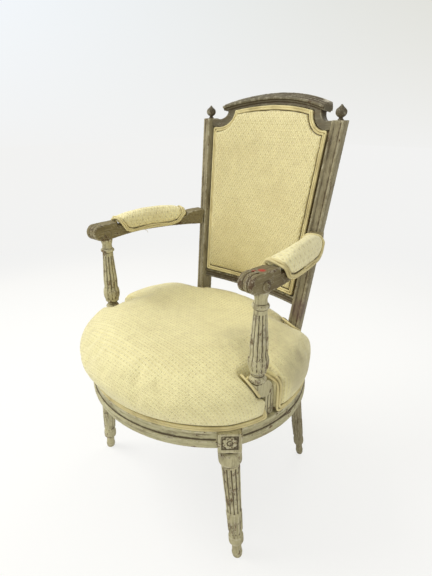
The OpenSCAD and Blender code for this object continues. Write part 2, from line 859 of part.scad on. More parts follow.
module top_rail() {
    color("#8b8770") difference() {
        back_frame() {
            cut_to_outline(0, back_rail_thickness, panel_shoulder - 2, cap_top) top_rail_outline();
            cut_to_outline(-3, back_rail_thickness + 2, cap_spring - 40, cap_top + 2) cap_step(-4, 0);
            cut_to_outline(-8, back_rail_thickness + 8, cap_spring - 40, cap_top + 2)
                cap_step(-eps, cap_edge);
            cut_to_outline(-2, back_rail_thickness + 8, cap_spring - 40, cap_top + 2)
                cap_step(cap_edge - eps, cap_edge + 4);
            cut_to_outline(6, back_rail_thickness + 6, cap_spring - 40, cap_top + 2)
                cap_step(cap_edge + 4 - eps, cap_edge + 8);
            cut_to_outline(14, back_rail_thickness + 4, cap_spring - 40, cap_top + 2)
                cap_step(cap_edge + 8 - eps, cap_edge + 12);
        }
        for (s = [-1, 1]) on_side(s) {
            stile_room();
            back_dowels(hole_room);
        }
    }
}

// Room of a stile and of everything outside it, to trim the back rails to it
module stile_room() {
    stile_frame() translate([-stile_width / 2, -100, 0]) cube([200, 200, norm(stile_run) * 1.4]);
}

// Room of a stile and of everything behind its face, to trim the arms to it
module room_behind_face() {
    stile_frame() translate([-150, -stile_depth / 2 + 0.05, 0]) cube([300, 200, norm(stile_run) * 1.4]);
}

module lower_rail_section() {
    h = lower_rail_height;
    t = back_rail_thickness;
    polygon(concat([[t, 0], [3, 0]],
        arc(3, 3, 3, 270, 160, 5),
        [[2.5, 5.5], [2.5, h - 8]],
        arc(3.2, h - 4, 3.8, 235, 90, 6),
        [[t, h]]));
}

module lower_back_rail() {
    color("#8b8770") difference() {
        back_frame() translate([0, -back_radius, lower_rail_top - lower_rail_height])
            rotate([0, 0, 90 - 26]) rotate_extrude(angle = 52, $fn = 240)
                translate([back_radius, 0]) lower_rail_section();
        for (s = [-1, 1]) on_side(s) {
            stile_room();
            back_dowels(hole_room);
        }
    }
}

module back_dowels(grow = 0) {
    back_frame() for (w = [lower_rail_top - lower_rail_height / 2, panel_shoulder + shoulder_height / 2])
        let (u = panel_side(w), v = back_radius - sqrt(pow(back_radius, 2) - pow(u, 2)))
            translate([u, -v + back_rail_thickness / 2, w]) rotate([0, 90, 0])
                cylinder(r = dowel_radius * 0.8 + grow, h = 24 + 4 * grow, center = true, $fn = 32);
}

module finial_peg(grow = 0) {
    translate([stile_x_high, stile_y_high, stile_top - 12])
        cylinder(r = 3.4 + grow, h = 12 + eps, $fn = 24);
}

module finial() {
    color("#7f7862") translate([stile_x_high, stile_y_high, stile_top]) {
        translate([0, 0, -11.5]) cylinder(r = 3.4, h = 12, $fn = 24);
        rotate_extrude($fn = 48) polygon(concat(
            [[0, 0], [6.8, 0], [6.8, 1.6], [4.4, 3], [4, 5]],
            [for (t = [-62:15:58]) [12.2 * cos(t), 16 + 11 * sin(t)]],
            [[3.6, finial_height - 4], [2, finial_height - 1], [0, finial_height]]));
    }
}

module back_frame_dowels() {
    color("tan") for (s = [-1, 1]) on_side(s) {
        back_dowels();
        arm_dowel();
    }
}

// ---- Back upholstery --------------------------------------------------------------------

module back_pad() {
    color("#e6dca2") back_frame()
        cut_to_outline(-back_pad_proud, 5, lower_rail_top, crown_spring + panel_crown)
            panel_outline(back_welt_width + 0.6);
}

module back_welt() {
    color("#e9dfae") back_frame()
        cut_to_outline(-5, 3, lower_rail_top, crown_spring + panel_crown) difference() {
            panel_outline(0.4);
            panel_outline(back_welt_width);
        }
}

module back_hessian() {
    color("#a8946c") back_frame()
        cut_to_outline(6.5, 7.7, lower_rail_top, crown_spring + panel_crown) panel_outline(0.5);
}

module outside_back_panel() {
    color("#e2d8a4") back_frame()
        cut_to_outline(back_rail_thickness - 6, back_rail_thickness - 1, lower_rail_top,
                       crown_spring + panel_crown) panel_outline(0.5);
}

// ---- Arms -------------------------------------------------------------------------------

scroll_x = -26;
scroll_z = arm_underside + 20;
scroll_top = scroll_z + scroll_radius;
pad_bed = arm_underside + 27;                     // top of the wood under the pad
pad_front = 20;
pad_back = pad_front + pad_length;

// Side of the straight front end of an arm, with its scroll
module arm_front_side() {
    u = arm_underside;
    translate([scroll_x, scroll_z]) circle(r = scroll_radius, $fn = 64);
    polygon([[scroll_x, u + 2], [-14, u + 2], [-10, u], [0, u], [0, scroll_top],
        [scroll_x, scroll_top]]);
}

// Side of the curved length of an arm, x along its chord, y up
module arm_side() {
    u = arm_underside;
    polygon([[-20, u], [13, u], [46, u + 3], [91, u + 6], [181, u + 6], [arm_reach + 20, u + 3],
        [arm_reach + 20, u + 46], [pad_back + 22, u + 41], [pad_back + 4, u + 38],
        [pad_back - 6, pad_bed], [pad_front + 8, pad_bed], [pad_front + 6, scroll_top],
        [-20, scroll_top]]);
}

// A band of a given width that follows the curve of an arm
module arm_band(width, low, high, beyond) {
    along_arm(beyond) translate([-width / 2, low]) square([width, high - low]);
}

// Extrudes a side view right across an arm
module across_arm() {
    arm_frame() rotate([90, 0, 0]) translate([0, 0, -100]) linear_extrude(height = 200) children();
}

module arm() {
    color("#857f66") difference() {
        union() {
            arm_front_frame() rotate([90, 0, 0]) translate([0, 0, -arm_width / 2])
                linear_extrude(height = arm_width) arm_front_side();
            intersection() {
                arm_band(arm_width, arm_underside - 10, arm_underside + 70, 0);
                across_arm() arm_side();
            }
            // the eyes of the side volutes
            for (s = [-1, 1]) arm_front_frame()
                translate([-6, s * arm_width / 2, arm_underside + 13])
                    rotate([90, 0, 0]) cylinder(r = 9, h = 3, center = true, $fn = 32);
        }
        arm_front_frame() for (y = [-arm_width / 6, arm_width / 6])
            translate([scroll_x, y, scroll_z]) rotate([90, 0, 0]) rotate_extrude($fn = 64)
                translate([scroll_radius + 0.6, 0]) circle(r = 2.2, $fn = 16);
        room_behind_face();
        arm_dowel(hole_room);
        support_peg(hole_room);
    }
}

module arm_dowel(grow = 0) {
    arm_frame() translate([arm_reach - stile_depth / 2 - 1, 0, arm_underside + 20]) rotate([0, 90, 0])
        cylinder(r = dowel_radius + grow, h = 26 + 4 * grow, center = true, $fn = 32);
}

module support_peg(grow = 0) {
    translate([support_x, -support_y, arm_underside - 4])
        cylinder(r = 7 + grow, h = 18 + 2 * grow, $fn = 32);
}

module support_dowel(grow = 0) {
    translate([foot_x, foot_y, rail_top - 12])
        cylinder(r = dowel_radius + grow, h = 26 + 4 * grow, $fn = 32);
}

// Outline of the turned baluster of a support
function baluster_outline() = concat(
    [[0, baluster_base - 6], [12, baluster_base - 6], [12, baluster_base], [17, baluster_base + 2]],
    [for (t = [-50:25:50]) [10 + 11 * cos(t), baluster_base + 24 + 22 * sin(t)]],
    [[17.9, baluster_base + 60], [15.8, baluster_base + 88], [13, collar_base - 2]],
    arc(12.4, collar_base + collar_height / 2, collar_height / 2 - 1.4, -80, 80, 6),
    [[12.6, collar_base + collar_height], [11.8, collar_base + collar_height + 8],
     [15, arm_underside - 4], [15, arm_underside - eps], [0, arm_underside - eps]]);

// Flat-bottomed flutes that follow the swelling of the baluster
module baluster_flutes() {
    depth = 1.6;
    for (i = [0:flute_count - 1]) rotate([0, 0, 360 / flute_count * i])
        rotate([90, 0, 0]) translate([0, 0, -1.6]) linear_extrude(height = 3.2)
            polygon([[17.8 - depth, baluster_base + 8], [21 - depth, baluster_base + 18],
                     [21 - depth, baluster_base + 30], [17.4 - depth, baluster_base + 42],
                     [17.9 - depth, baluster_base + 60], [15.8 - depth, baluster_base + 88],
                     [13.4 - depth, collar_base - 8], [40, collar_base - 8], [40, baluster_base + 8]]);
}

// Side of the foot of a support: it stands upright, then sweeps forward under the knob
module support_foot_side() {
    half = support_side / 2;
    rise = knob_base - rail_top;
    back = support_setback;
    polygon(concat(
        [[back - half, rail_top], [back + half, rail_top]],
        [for (t = [0:15:90]) [back + half - (back + half - 15) * (1 - cos(t)),
                              rail_top + rise * 0.42 + rise * 0.58 * sin(t)]],
        [[-15, knob_base]],
        [for (t = [90:-15:0]) [-15 + (back - half + 15) * (1 - sin(t)),
                               rail_top + rise * 0.92 - rise * 0.34 * cos(t)]]));
}

module arm_support() {
    color("#88846b") difference() {
        union() {
            translate([support_x, -support_y, 0]) {
                difference() {
                    rotate_extrude() polygon(baluster_outline());
                    baluster_flutes();
                }
                translate([0, 0, knob_base - eps]) rotate_extrude() polygon(concat([[0, 0]],
                    [for (t = [-60:20:60]) [5 + 11.5 * cos(t), knob_height / 2 + 10 * sin(t)]],
                    [[0, knob_height]]));
                for (i = [0:7]) rotate([0, 0, i * 45]) translate([13, 0, knob_base + knob_height / 2])
                    sphere(r = 5, $fn = 24);
            }
            translate([foot_x, -support_y, 0]) rotate([90, 0, 90])
                translate([0, 0, -support_side / 2]) linear_extrude(height = support_side)
                    support_foot_side();
        }
        // two flutes down the outer face of the foot
        for (y = [-5, 5]) translate([foot_x + support_side / 2 + 0.8, foot_y + y, rail_top + 4])
            cylinder(r = 2.4, h = 46, $fn = 24);
        translate([0, -support_y, -far + rail_top]) cube([2 * far, 2 * far, 2 * far - eps], center = true);
        support_dowel(hole_room);
    }
    color("#88846b") translate([support_x, -support_y, arm_underside - 4])
        cylinder(r = 7, h = 18, $fn = 32);
}

// Section of an arm pad, x across the arm from its middle, y up
module pad_section() {
    w = pad_radius;
    translate([0, pad_bed]) polygon(concat([[-w + 2, -24], [w - 2, -24], [w, -18]],
        arc(0, 7, w, 0, 60, 4), arc(0, 1, w + 10, 75, 105, 2), arc(0, 7, w, 120, 180, 4),
        [[-w, -18]]));
}

// Everything below the top line of an arm pad
module below_pad_top() {
    u = arm_underside;
    a = pad_front;
    b = pad_back;
    polygon([[a - 40, u - 30], [a - 40, u + 36], [a, u + 43], [a + 20, u + 48], [a + 47, u + 55],
        [a + 89, u + 60], [b - 72, u + 61], [b - 36, u + 58], [b - 11, u + 52], [b, u + 44],
        [b + 20, u + 24], [b + 20, u - 30]]);
}

// Everything inside the hem of an arm pad, drawn in by an inset and open at the top
module inside_pad_hem(inset) {
    u = arm_underside;
    a = pad_front + inset;
    b = pad_back - inset;
    low = arm_underside + inset;
    polygon([[a - 16, u + 57], [a + 14, u + 33], [a + 24, low + 15], [a + 43 - inset, low + 8],
        [pad_front + 101, low + 9], [pad_back - 45, low + 10], [b - 20, low + 17], [b, u + 44],
        [b, u + 84], [a - 16, u + 84]]);
}

module pad_shape(inset) {
    intersection() {
        along_arm(2) pad_section();
        across_arm() intersection() {
            below_pad_top();
            inside_pad_hem(inset);
        }
    }
}

// Room of the arm's wood inside its pad
module arm_wood_room() {
    intersection() {
        arm_band(arm_width + 0.6, arm_underside - 12, arm_underside + 70, 3);
        across_arm() polygon([[-60, arm_underside - 9], [arm_reach + 40, arm_underside - 9],
            [arm_reach + 40, pad_bed + 0.3], [pad_front + 8, pad_bed + 0.3],
            [pad_front + 6.5, scroll_top + 0.5], [-60, scroll_top + 0.5]]);
    }
}

module arm_pad() {
    color("#e6dca2") difference() {
        pad_shape(2 * cord_radius + 0.3);
        arm_wood_room();
    }
}

module arm_pad_welt() {
    color("#e9dfae") difference() {
        pad_shape(0);
        across_arm() inside_pad_hem(2 * cord_radius);
        arm_wood_room();
    }
}

// ---- The chair --------------------------------------------------------------------------

placed() {
    on_side(1) front_leg();  // front_left_leg
    on_side(-1) front_leg();  // front_right_leg
    on_side(1) rear_stile();  // rear_left_stile
    on_side(-1) rear_stile();  // rear_right_stile
    front_seat_rail();
    on_side(1) side_rail();  // left_seat_rail
    on_side(-1) side_rail();  // right_seat_rail
    rear_seat_rail();
    on_side(1) front_corner_block();  // front_left_corner_block
    on_side(-1) front_corner_block();  // front_right_corner_block
    on_side(1) rear_corner_block();  // rear_left_corner_block
    on_side(-1) rear_corner_block();  // rear_right_corner_block
    corner_block_screws();
    seat_frame_dowels();
    seat_webbing_lengthwise();
    seat_webbing_crosswise();
    seat_hessian();
    seat_dust_cover();
    seat_cushion();
    front_seat_welt();
    on_side(1) side_seat_welt();  // left_seat_welt
    on_side(-1) side_seat_welt();  // right_seat_welt
    rear_seat_welt();
    top_rail();
    lower_back_rail();
    on_side(1) finial();  // left_finial
    on_side(-1) finial();  // right_finial
    back_frame_dowels();
    back_pad();
    back_welt();
    back_hessian();
    outside_back_panel();
    on_side(1) arm();  // left_arm
    on_side(-1) arm();  // right_arm
    on_side(1) arm_support();  // left_arm_support
    on_side(-1) arm_support();  // right_arm_support
    on_side(1) arm_pad();  // left_arm_pad
    on_side(-1) arm_pad();  // right_arm_pad
    on_side(1) arm_pad_welt();  // left_arm_pad_welt
    on_side(-1) arm_pad_welt();  // right_arm_pad_welt
}
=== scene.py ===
import math

import bmesh
import bpy
import numpy as np
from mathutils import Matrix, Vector
from mathutils.bvhtree import BVHTree
from mathutils.kdtree import KDTree


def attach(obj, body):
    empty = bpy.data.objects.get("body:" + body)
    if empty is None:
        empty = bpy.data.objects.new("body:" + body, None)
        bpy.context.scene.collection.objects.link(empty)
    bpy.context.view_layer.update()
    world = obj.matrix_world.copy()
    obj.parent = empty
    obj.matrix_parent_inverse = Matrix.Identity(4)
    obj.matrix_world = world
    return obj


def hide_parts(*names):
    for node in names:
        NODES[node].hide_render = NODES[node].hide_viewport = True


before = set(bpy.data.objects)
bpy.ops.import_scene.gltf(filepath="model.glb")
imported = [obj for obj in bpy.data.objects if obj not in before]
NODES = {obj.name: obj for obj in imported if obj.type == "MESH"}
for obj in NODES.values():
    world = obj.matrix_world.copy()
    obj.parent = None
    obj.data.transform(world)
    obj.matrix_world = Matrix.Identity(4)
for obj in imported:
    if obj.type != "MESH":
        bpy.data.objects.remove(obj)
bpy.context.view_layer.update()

# The chair's own sizes, in metres, as the joinery was drawn
MIDDLE = 0.034566
SEAT_RADIUS, FRONT_BOW, REAR_BOW = 0.268, 0.307, 0.471
FRONT_CENTRE, REAR_CENTRE = 0.067, -0.254
RAIL_TOP = 0.340
BACK_RADIUS, BACK_ORIGIN, SEAT_MARK = 0.471, 0.193751, 0.400
RAKE = math.radians(9.71)
SUPPORT_X, SUPPORT_Y = 0.244936, -0.068
ARM_TURN = math.radians(103.199)
ARM_REACH, ARM_CURVE, ARM_BOW = 0.292228, 0.4962, 0.022
ARM_UNDERSIDE = 0.622
FOOT_Y = -0.038
CORD = 0.0028


# ---- Mesh helpers -----------------------------------------------------------------------

def add_object(name, mesh, material, replaced=()):
    piece = bpy.data.objects.new(name, mesh)
    bpy.context.scene.collection.objects.link(piece)
    mesh.materials.clear()
    mesh.materials.append(material)
    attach(piece, "root")
    if replaced:
        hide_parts(*replaced)
    return piece


def merged_copy(*nodes):
    """One clean mesh from copies of CAD nodes."""
    bm = bmesh.new()
    for node in nodes:
        bm.from_mesh(NODES[node].data)
    bmesh.ops.remove_doubles(bm, verts=bm.verts, dist=0.00002)
    mesh = bpy.data.meshes.new("work")
    bm.to_mesh(mesh)
    bm.free()
    return mesh


def baked(mesh, *modifiers):
    """Applies modifiers to a mesh and returns the result."""
    holder = bpy.data.objects.new("holder", mesh)
    bpy.context.scene.collection.objects.link(holder)
    for kind, values in modifiers:
        modifier = holder.modifiers.new(kind, kind)
        for key, value in values.items():
            setattr(modifier, key, value)
    bpy.context.view_layer.update()
    depsgraph = bpy.context.evaluated_depsgraph_get()
    result = bpy.data.meshes.new_from_object(holder.evaluated_get(depsgraph))
    bpy.data.objects.remove(holder)
    return result


def remeshed(mesh, voxel):
    return baked(mesh, ("REMESH", {"mode": "VOXEL", "voxel_size": voxel, "use_smooth_shade": True}))


def places(mesh):
    out = np.empty(len(mesh.vertices) * 3)
    mesh.vertices.foreach_get("co", out)
    return out.reshape(-1, 3)


def move_to(mesh, co):
    mesh.vertices.foreach_set("co", co.astype(np.float32).ravel())
    mesh.update()


def normals_of(mesh):
    out = np.empty(len(mesh.vertices) * 3)
    mesh.vertices.foreach_get("normal", out)
    return out.reshape(-1, 3)


def edges_of(mesh):
    out = np.empty(len(mesh.edges) * 2, dtype=np.int64)
    mesh.edges.foreach_get("vertices", out)
    return out.reshape(-1, 2)


def averaged(values, edges, rounds, share=1.0):
    """Each vertex takes on the mean of its neighbours, a number of times."""
    count = len(values)
    a, b = np.concatenate([edges[:, 0], edges[:, 1]]), np.concatenate([edges[:, 1], edges[:, 0]])
    degree = np.maximum(np.bincount(a, minlength=count), 1)
    out = values.astype(float).copy()
    for _ in range(rounds):
        if out.ndim == 1:
            mean = np.bincount(a, weights=out[b], minlength=count) / degree
            out += share * (mean - out)
        else:
            mean = np.stack([np.bincount(a, weights=out[b, k], minlength=count) for k in range(3)], 1)
            out += share * (mean / degree[:, None] - out)
    return out


def smooth_shaded(mesh):
    mesh.polygons.foreach_set("use_smooth", np.ones(len(mesh.polygons), dtype=bool))
    return mesh


def put_attribute(mesh, name, values):
    layer = mesh.attributes.new(name, "FLOAT", "POINT")
    layer.data.foreach_set("value", values.astype(np.float32))


def ease(value, low, high):
    share = np.clip((value - low) / (high - low), 0, 1)
    return share * share * (3 - 2 * share)


def ripple(co, scale, seed=0.0):
    """A cheap, even unevenness from crossed waves, between -1 and 1."""
    p = co * scale + seed
    a = np.sin(p[:, 0] * 1.7 + 2.3 * np.sin(p[:, 1] * 1.1) + seed)
    b = np.sin(p[:, 1] * 1.9 + 1.7 * np.sin(p[:, 2] * 1.3) + 1.3 * seed)
    c = np.sin(p[:, 2] * 1.5 + 2.1 * np.sin(p[:, 0] * 0.9) + 2.1 * seed)
    return (a + b + c) / 3


# ---- Node trees -------------------------------------------------------------------------

class Tree:
    """A short way to write a material's nodes."""

    def __init__(self, name):
        self.material = bpy.data.materials.new(name)
        self.material.use_nodes = True
        self.nodes = self.material.node_tree.nodes
        self.links = self.material.node_tree.links
        self.shader = self.nodes["Principled BSDF"]
        self.coords = self.nodes.new("ShaderNodeTexCoord").outputs["Object"]

    def put(self, socket, value):
        if isinstance(value, bpy.types.NodeSocket):
            self.links.new(value, socket)
        else:
            socket.default_value = value

    def add(self, kind, inputs, **settings):
        node = self.nodes.new(kind)
        for key, value in settings.items():
            setattr(node, key, value)
        for key, value in inputs.items():
            self.put(node.inputs[key], value)
        return node

    def math(self, operation, a, b=0.0, clamp=False):
        return self.add("ShaderNodeMath", {0: a, 1: b}, operation=operation,
                        use_clamp=clamp).outputs[0]

    def noise(self, scale, detail=3.0, vector=None, rough=0.55):
        return self.add("ShaderNodeTexNoise", {"Vector": vector or self.coords, "Scale": scale,
                                               "Detail": detail, "Roughness": rough}).outputs["Fac"]

    def stretched(self, scale_xyz, turn=(0, 0, 0), place=(0, 0, 0), vector=None):
        return self.add("ShaderNodeMapping", {"Vector": vector or self.coords, "Scale": scale_xyz,
                                              "Rotation": turn, "Location": place}).outputs[0]

    def between(self, value, low, high):
        return self.add("ShaderNodeMapRange", {"Value": value, "From Min": low, "From Max": high},
                        interpolation_type="SMOOTHSTEP").outputs[0]

    def mix(self, share, a, b):
        node = self.nodes.new("ShaderNodeMix")
        node.data_type = "RGBA"
        self.put(node.inputs[0], share)
        self.put(node.inputs[6], a)
        self.put(node.inputs[7], b)
        return node.outputs[2]

    def attribute(self, name):
        return self.add("ShaderNodeAttribute", {}, attribute_name=name).outputs["Fac"]

    def spot(self, centre, radius, soft=0.5):
        """One inside a ball about a point, falling to nothing at its rim."""
        away = self.add("ShaderNodeVectorMath", {0: self.coords, 1: centre},
                        operation="DISTANCE").outputs["Value"]
        return self.math("SUBTRACT", 1.0, self.between(away, radius * soft, radius))

    def bump(self, height, strength, distance, normal=None):
        inputs = {"Height": height, "Strength": strength, "Distance": distance}
        if normal is not None:
            inputs["Normal"] = normal
        return self.add("ShaderNodeBump", inputs).outputs[0]


def rgb(r, g, b):
    """A colour as a paint card shows it, 0 to 255, made linear."""
    def linear(v):
        v /= 255
        return v / 12.92 if v <= 0.04045 else ((v + 0.055) / 1.055) ** 2.4
    return (linear(r), linear(g), linear(b), 1.0)


def flaked_paint(name, paint, shade, bare, wear=1.0, grain=(1, 1, 0.1), dirt=0.5, chalk=0.8,
                 marks=()):
    """Old grey-green paint over brown wood: rubbed edges, dark hollows and lifted flakes."""
    t = Tree(name)
    relief = t.attribute("relief")
    along = t.stretched(grain)
    broad = t.noise(11.0, 4.0)
    streaks = t.noise(130.0, 5.0, along, 0.65)
    threads = t.noise(420.0, 3.0, along, 0.6)
    blotch = t.noise(44.0, 5.0, rough=0.62)
    colour = t.mix(t.between(broad, 0.38, 0.64), paint, shade)
    # grime drawn out along the grain, and rubbed pale lines between
    grime = t.math("MULTIPLY", t.between(streaks, 0.50, 0.66), 0.35 + dirt * 0.5)
    colour = t.mix(grime, colour, rgb(96, 82, 54))
    rubbed = t.math("MULTIPLY", t.between(threads, 0.54, 0.70), 0.5 * chalk)
    colour = t.mix(rubbed, colour, rgb(190, 184, 154))
    colour = t.mix(t.math("MULTIPLY", t.between(threads, 0.50, 0.34), 0.30), colour, rgb(92, 78, 50))
    # brown glaze and dirt lie in the hollows, and painted shade darkens them further
    hollow = t.math("ADD", t.math("SUBTRACT", 0.465, relief),
                    t.math("MULTIPLY", t.math("SUBTRACT", blotch, 0.5), 0.30))
    hollow = t.between(hollow, 0.0, 0.17)
    colour = t.mix(t.math("MULTIPLY", hollow, 0.90), colour, rgb(66, 52, 32))
    # bare wood where the paint has flaked away
    lost = t.math("ADD", blotch, t.math("MULTIPLY", t.math("SUBTRACT", relief, 0.5), 0.35 * wear))
    lost = t.math("ADD", lost, t.math("MULTIPLY", t.math("SUBTRACT", threads, 0.5), 0.30))
    lost = t.math("ADD", lost, t.math("MULTIPLY", t.math("SUBTRACT", t.noise(230.0, 3.0), 0.5), 0.25))
    bare_mask = t.between(lost, 0.68 - 0.05 * wear, 0.70 - 0.05 * wear)
    wood = t.mix(t.between(t.noise(300.0, 3.0, along), 0.35, 0.65), bare, rgb(84, 64, 40))
    colour = t.mix(t.math("MULTIPLY", bare_mask, 0.85), colour, wood)
    # pale ground shows round the flakes and on knocked edges
    rim = t.math("SUBTRACT", t.between(lost, 0.64 - 0.05 * wear, 0.665 - 0.05 * wear), bare_mask)
    colour = t.mix(t.math("MULTIPLY", rim, 0.55 * chalk), colour, rgb(204, 198, 170))
    knocked = t.math("MULTIPLY", t.between(relief, 0.60, 0.80), t.between(t.noise(90.0, 4.0), 0.47, 0.58))
    colour = t.mix(t.math("MULTIPLY", knocked, 0.9 * chalk), colour, rgb(206, 200, 172))
    for centre, radius, tint, share in marks:
        ragged = t.math("ADD", 0.2, t.math("MULTIPLY", t.noise(160.0, 4.0), 1.5), clamp=True)
        colour = t.mix(t.math("MULTIPLY", t.math("MULTIPLY", t.spot(centre, radius, 0.3), ragged), share),
                       colour, tint)
    t.put(t.shader.inputs["Base Color"], colour)
    t.put(t.shader.inputs["Roughness"], t.math("ADD", 0.50, t.math("MULTIPLY", blotch, 0.25)))
    t.shader.inputs["Specular IOR Level"].default_value = 0.35
    height = t.math("SUBTRACT", t.math("MULTIPLY", threads, 0.8), t.math("MULTIPLY", bare_mask, 0.9))
    height = t.math("ADD", height, t.math("MULTIPLY", streaks, 0.6))
    t.put(t.shader.inputs["Normal"], t.bump(height, 0.8, 0.0007))
    return t


def sprig_cloth(name, base, sprig, pitch=0.0125, turn=45, marks=()):
    """Pale figured cloth: a woven ground with a diamond lattice of small sprigs and lozenges painted with a
    glint, soiled, with painted shade by its cords and in some of its marks.
    """
    t = Tree(name)
    uv = t.add("ShaderNodeUVMap", {}, uv_map="weave").outputs[0]
    turned = t.stretched((1 / pitch,) * 3, (0, 0, math.radians(turn)), vector=uv)
    dots = t.add("ShaderNodeTexVoronoi", {"Vector": turned, "Scale": 1.0, "Randomness": 0.0},
                 voronoi_dimensions="2D").outputs["Distance"]
    dot = t.math("SUBTRACT", 1.0, t.between(dots, 0.10, 0.20))
    lozenge_at = t.stretched((2.2 / pitch, 1.5 / pitch, 1), (0, 0, math.radians(turn)), (0.3, 0.2, 0),
                             vector=uv)
    lozenges = t.add("ShaderNodeTexVoronoi", {"Vector": lozenge_at, "Scale": 1.0, "Randomness": 0.12},
                     voronoi_dimensions="2D").outputs["Distance"]
    lozenge_glint = t.math("SUBTRACT", 1.0, t.between(lozenges, 0.12, 0.52))
    thread = t.noise(1.0, 2.0, t.stretched((2600, 520, 1), vector=uv))
    dirt = t.noise(6.5, 5.0, rough=0.62)
    fine_dirt = t.noise(38.0, 4.0)
    ground = t.mix(t.between(t.noise(60.0, 3.0), 0.35, 0.65), base, sprig)
    colour = t.mix(0.16, base, ground)
    # painted highlight: the woven lozenge figure is painted lighter as a glint
    colour = t.mix(t.math("MULTIPLY", lozenge_glint, 0.42), colour, rgb(250, 245, 212))
    colour = t.mix(t.math("MULTIPLY", dot, 0.36), colour, sprig)
    colour = t.mix(t.math("MULTIPLY", t.between(thread, 0.35, 0.65), 0.10), colour, rgb(176, 160, 110))
    colour = t.mix(t.math("MULTIPLY", t.between(dirt, 0.46, 0.76), 0.32), colour, rgb(190, 172, 118))
    colour = t.mix(t.math("MULTIPLY", t.between(fine_dirt, 0.6, 0.78), 0.16), colour, rgb(150, 128, 84))
    for centre, radius, tint, share in marks:
        ragged = t.math("ADD", 0.35, t.math("MULTIPLY", t.noise(60.0, 4.0), 1.2), clamp=True)
        colour = t.mix(t.math("MULTIPLY", t.math("MULTIPLY", t.spot(centre, radius, 0.1), ragged), share),
                       colour, tint)
    # painted shade in the drawn-in seam beside the cords
    colour = t.mix(t.math("MULTIPLY", t.attribute("seam_shade"), 0.75), colour, rgb(120, 100, 58))
    t.put(t.shader.inputs["Base Color"], colour)
    t.shader.inputs["Roughness"].default_value = 0.62
    t.shader.inputs["Sheen Weight"].default_value = 0.25
    t.shader.inputs["Sheen Roughness"].default_value = 0.5
    t.shader.inputs["Specular IOR Level"].default_value = 0.3
    height = t.math("ADD", t.math("MULTIPLY", lozenge_glint, 0.6), t.math("MULTIPLY", thread, 0.35))
    height = t.math("SUBTRACT", height, t.math("MULTIPLY", dot, 0.7))
    t.put(t.shader.inputs["Normal"], t.bump(height, 0.9, 0.0011))
    return t


def plain_cloth(name, base, dark, scale=900.0):
    t = Tree(name)
    weave = t.noise(scale, 2.0)
    dirt = t.noise(22.0, 4.0)
    colour = t.mix(t.math("MULTIPLY", t.between(dirt, 0.4, 0.7), 0.5), base, dark)
    colour = t.mix(t.math("MULTIPLY", weave, 0.25), colour, dark)
    t.put(t.shader.inputs["Base Color"], colour)
    t.shader.inputs["Roughness"].default_value = 0.8
    t.put(t.shader.inputs["Normal"], t.bump(weave, 0.4, 0.0005))
    return t


def stained_wood(name, base, dark):
    t = Tree(name)
    streak = t.noise(60.0, 4.0, t.stretched((1, 0.1, 1)))
    t.put(t.shader.inputs["Base Color"], t.mix(t.between(streak, 0.35, 0.7), base, dark))
    t.shader.inputs["Roughness"].default_value = 0.7
    t.put(t.shader.inputs["Normal"], t.bump(streak, 0.3, 0.0005))
    return t


UPRIGHT, LEVEL, FORE_AFT = (1, 1, 0.1), (0.12, 0.12, 1), (1, 0.1, 1)
PALE, GREY_GREEN, BROWN = rgb(194, 187, 148), rgb(178, 170, 132), rgb(112, 86, 54)
RED_MARK, PURPLE_STAIN = rgb(178, 40, 34), rgb(96, 70, 72)
PAINT = flaked_paint("leg_paint", PALE, GREY_GREEN, BROWN, 0.9, UPRIGHT, 0.5, 0.75, (
    ((0.2030, -0.1700, 0.3000), 0.016, rgb(222, 216, 196), 0.9),)).material
PAINT_RAIL = flaked_paint("rail_paint", rgb(190, 185, 146), rgb(178, 171, 133), BROWN, 0.5, LEVEL, 0.35,
                          0.8).material
PAINT_STILE = flaked_paint("stile_paint", rgb(152, 143, 112), rgb(132, 123, 94), BROWN, 0.3, UPRIGHT,
                           0.5, 0.35, (((0.1780, 0.1420, 0.4750), 0.040, PURPLE_STAIN, 0.6),)).material
PAINT_CREST = flaked_paint("crest_paint", rgb(108, 101, 78), rgb(90, 83, 64), rgb(84, 64, 42), 0.4, LEVEL,
                           0.5, 0.32, (((0.1420, 0.2480, 0.9420), 0.018, rgb(196, 190, 172), 0.8),)).material
PAINT_ARM = flaked_paint("arm_paint", rgb(126, 115, 80), rgb(102, 89, 58), rgb(78, 54, 32), 0.9, FORE_AFT,
                         0.5, 0.45, (((0.2470, -0.1060, 0.6610), 0.0095, RED_MARK, 1.0),
                                     ((0.2380, -0.1180, 0.6610), 0.0050, RED_MARK, 0.8))).material
PAINT_KNOP = flaked_paint("finial_paint", rgb(88, 80, 60), rgb(72, 64, 48), rgb(70, 54, 38), 0.4, UPRIGHT,
                          0.6, 0.3).material
GREY_SOIL_AND_SHADOW, BROWN_SOIL = rgb(150, 140, 104), rgb(112, 84, 48)
SEAT_CLOTH = sprig_cloth("seat_cloth", rgb(240, 231, 170), rgb(180, 160, 100), 0.0095, 0, (
    # the first spot, on the seat inside the near arm, is grey soil with the near arm's shadow painted in
    ((0.155, -0.055, 0.456), 0.075, GREY_SOIL_AND_SHADOW, 0.30),
    ((0.125, -0.020, 0.462), 0.050, GREY_SOIL_AND_SHADOW, 0.18),
    ((0.190, 0.030, 0.452), 0.085, GREY_SOIL_AND_SHADOW, 0.25),
    ((0.262, 0.000, 0.415), 0.075, GREY_SOIL_AND_SHADOW, 0.45),
    ((0.262, 0.070, 0.400), 0.060, GREY_SOIL_AND_SHADOW, 0.35),
    ((0.255, 0.030, 0.435), 0.022, BROWN_SOIL, 0.35),
    ((0.240, -0.130, 0.400), 0.030, GREY_SOIL_AND_SHADOW, 0.45),
    ((0.047, -0.306, 0.430), 0.0045, BROWN_SOIL, 1.0),
    ((0.050, -0.306, 0.424), 0.0100, BROWN_SOIL, 0.5),
    ((0.150, -0.276, 0.398), 0.0050, BROWN_SOIL, 1.0))).material
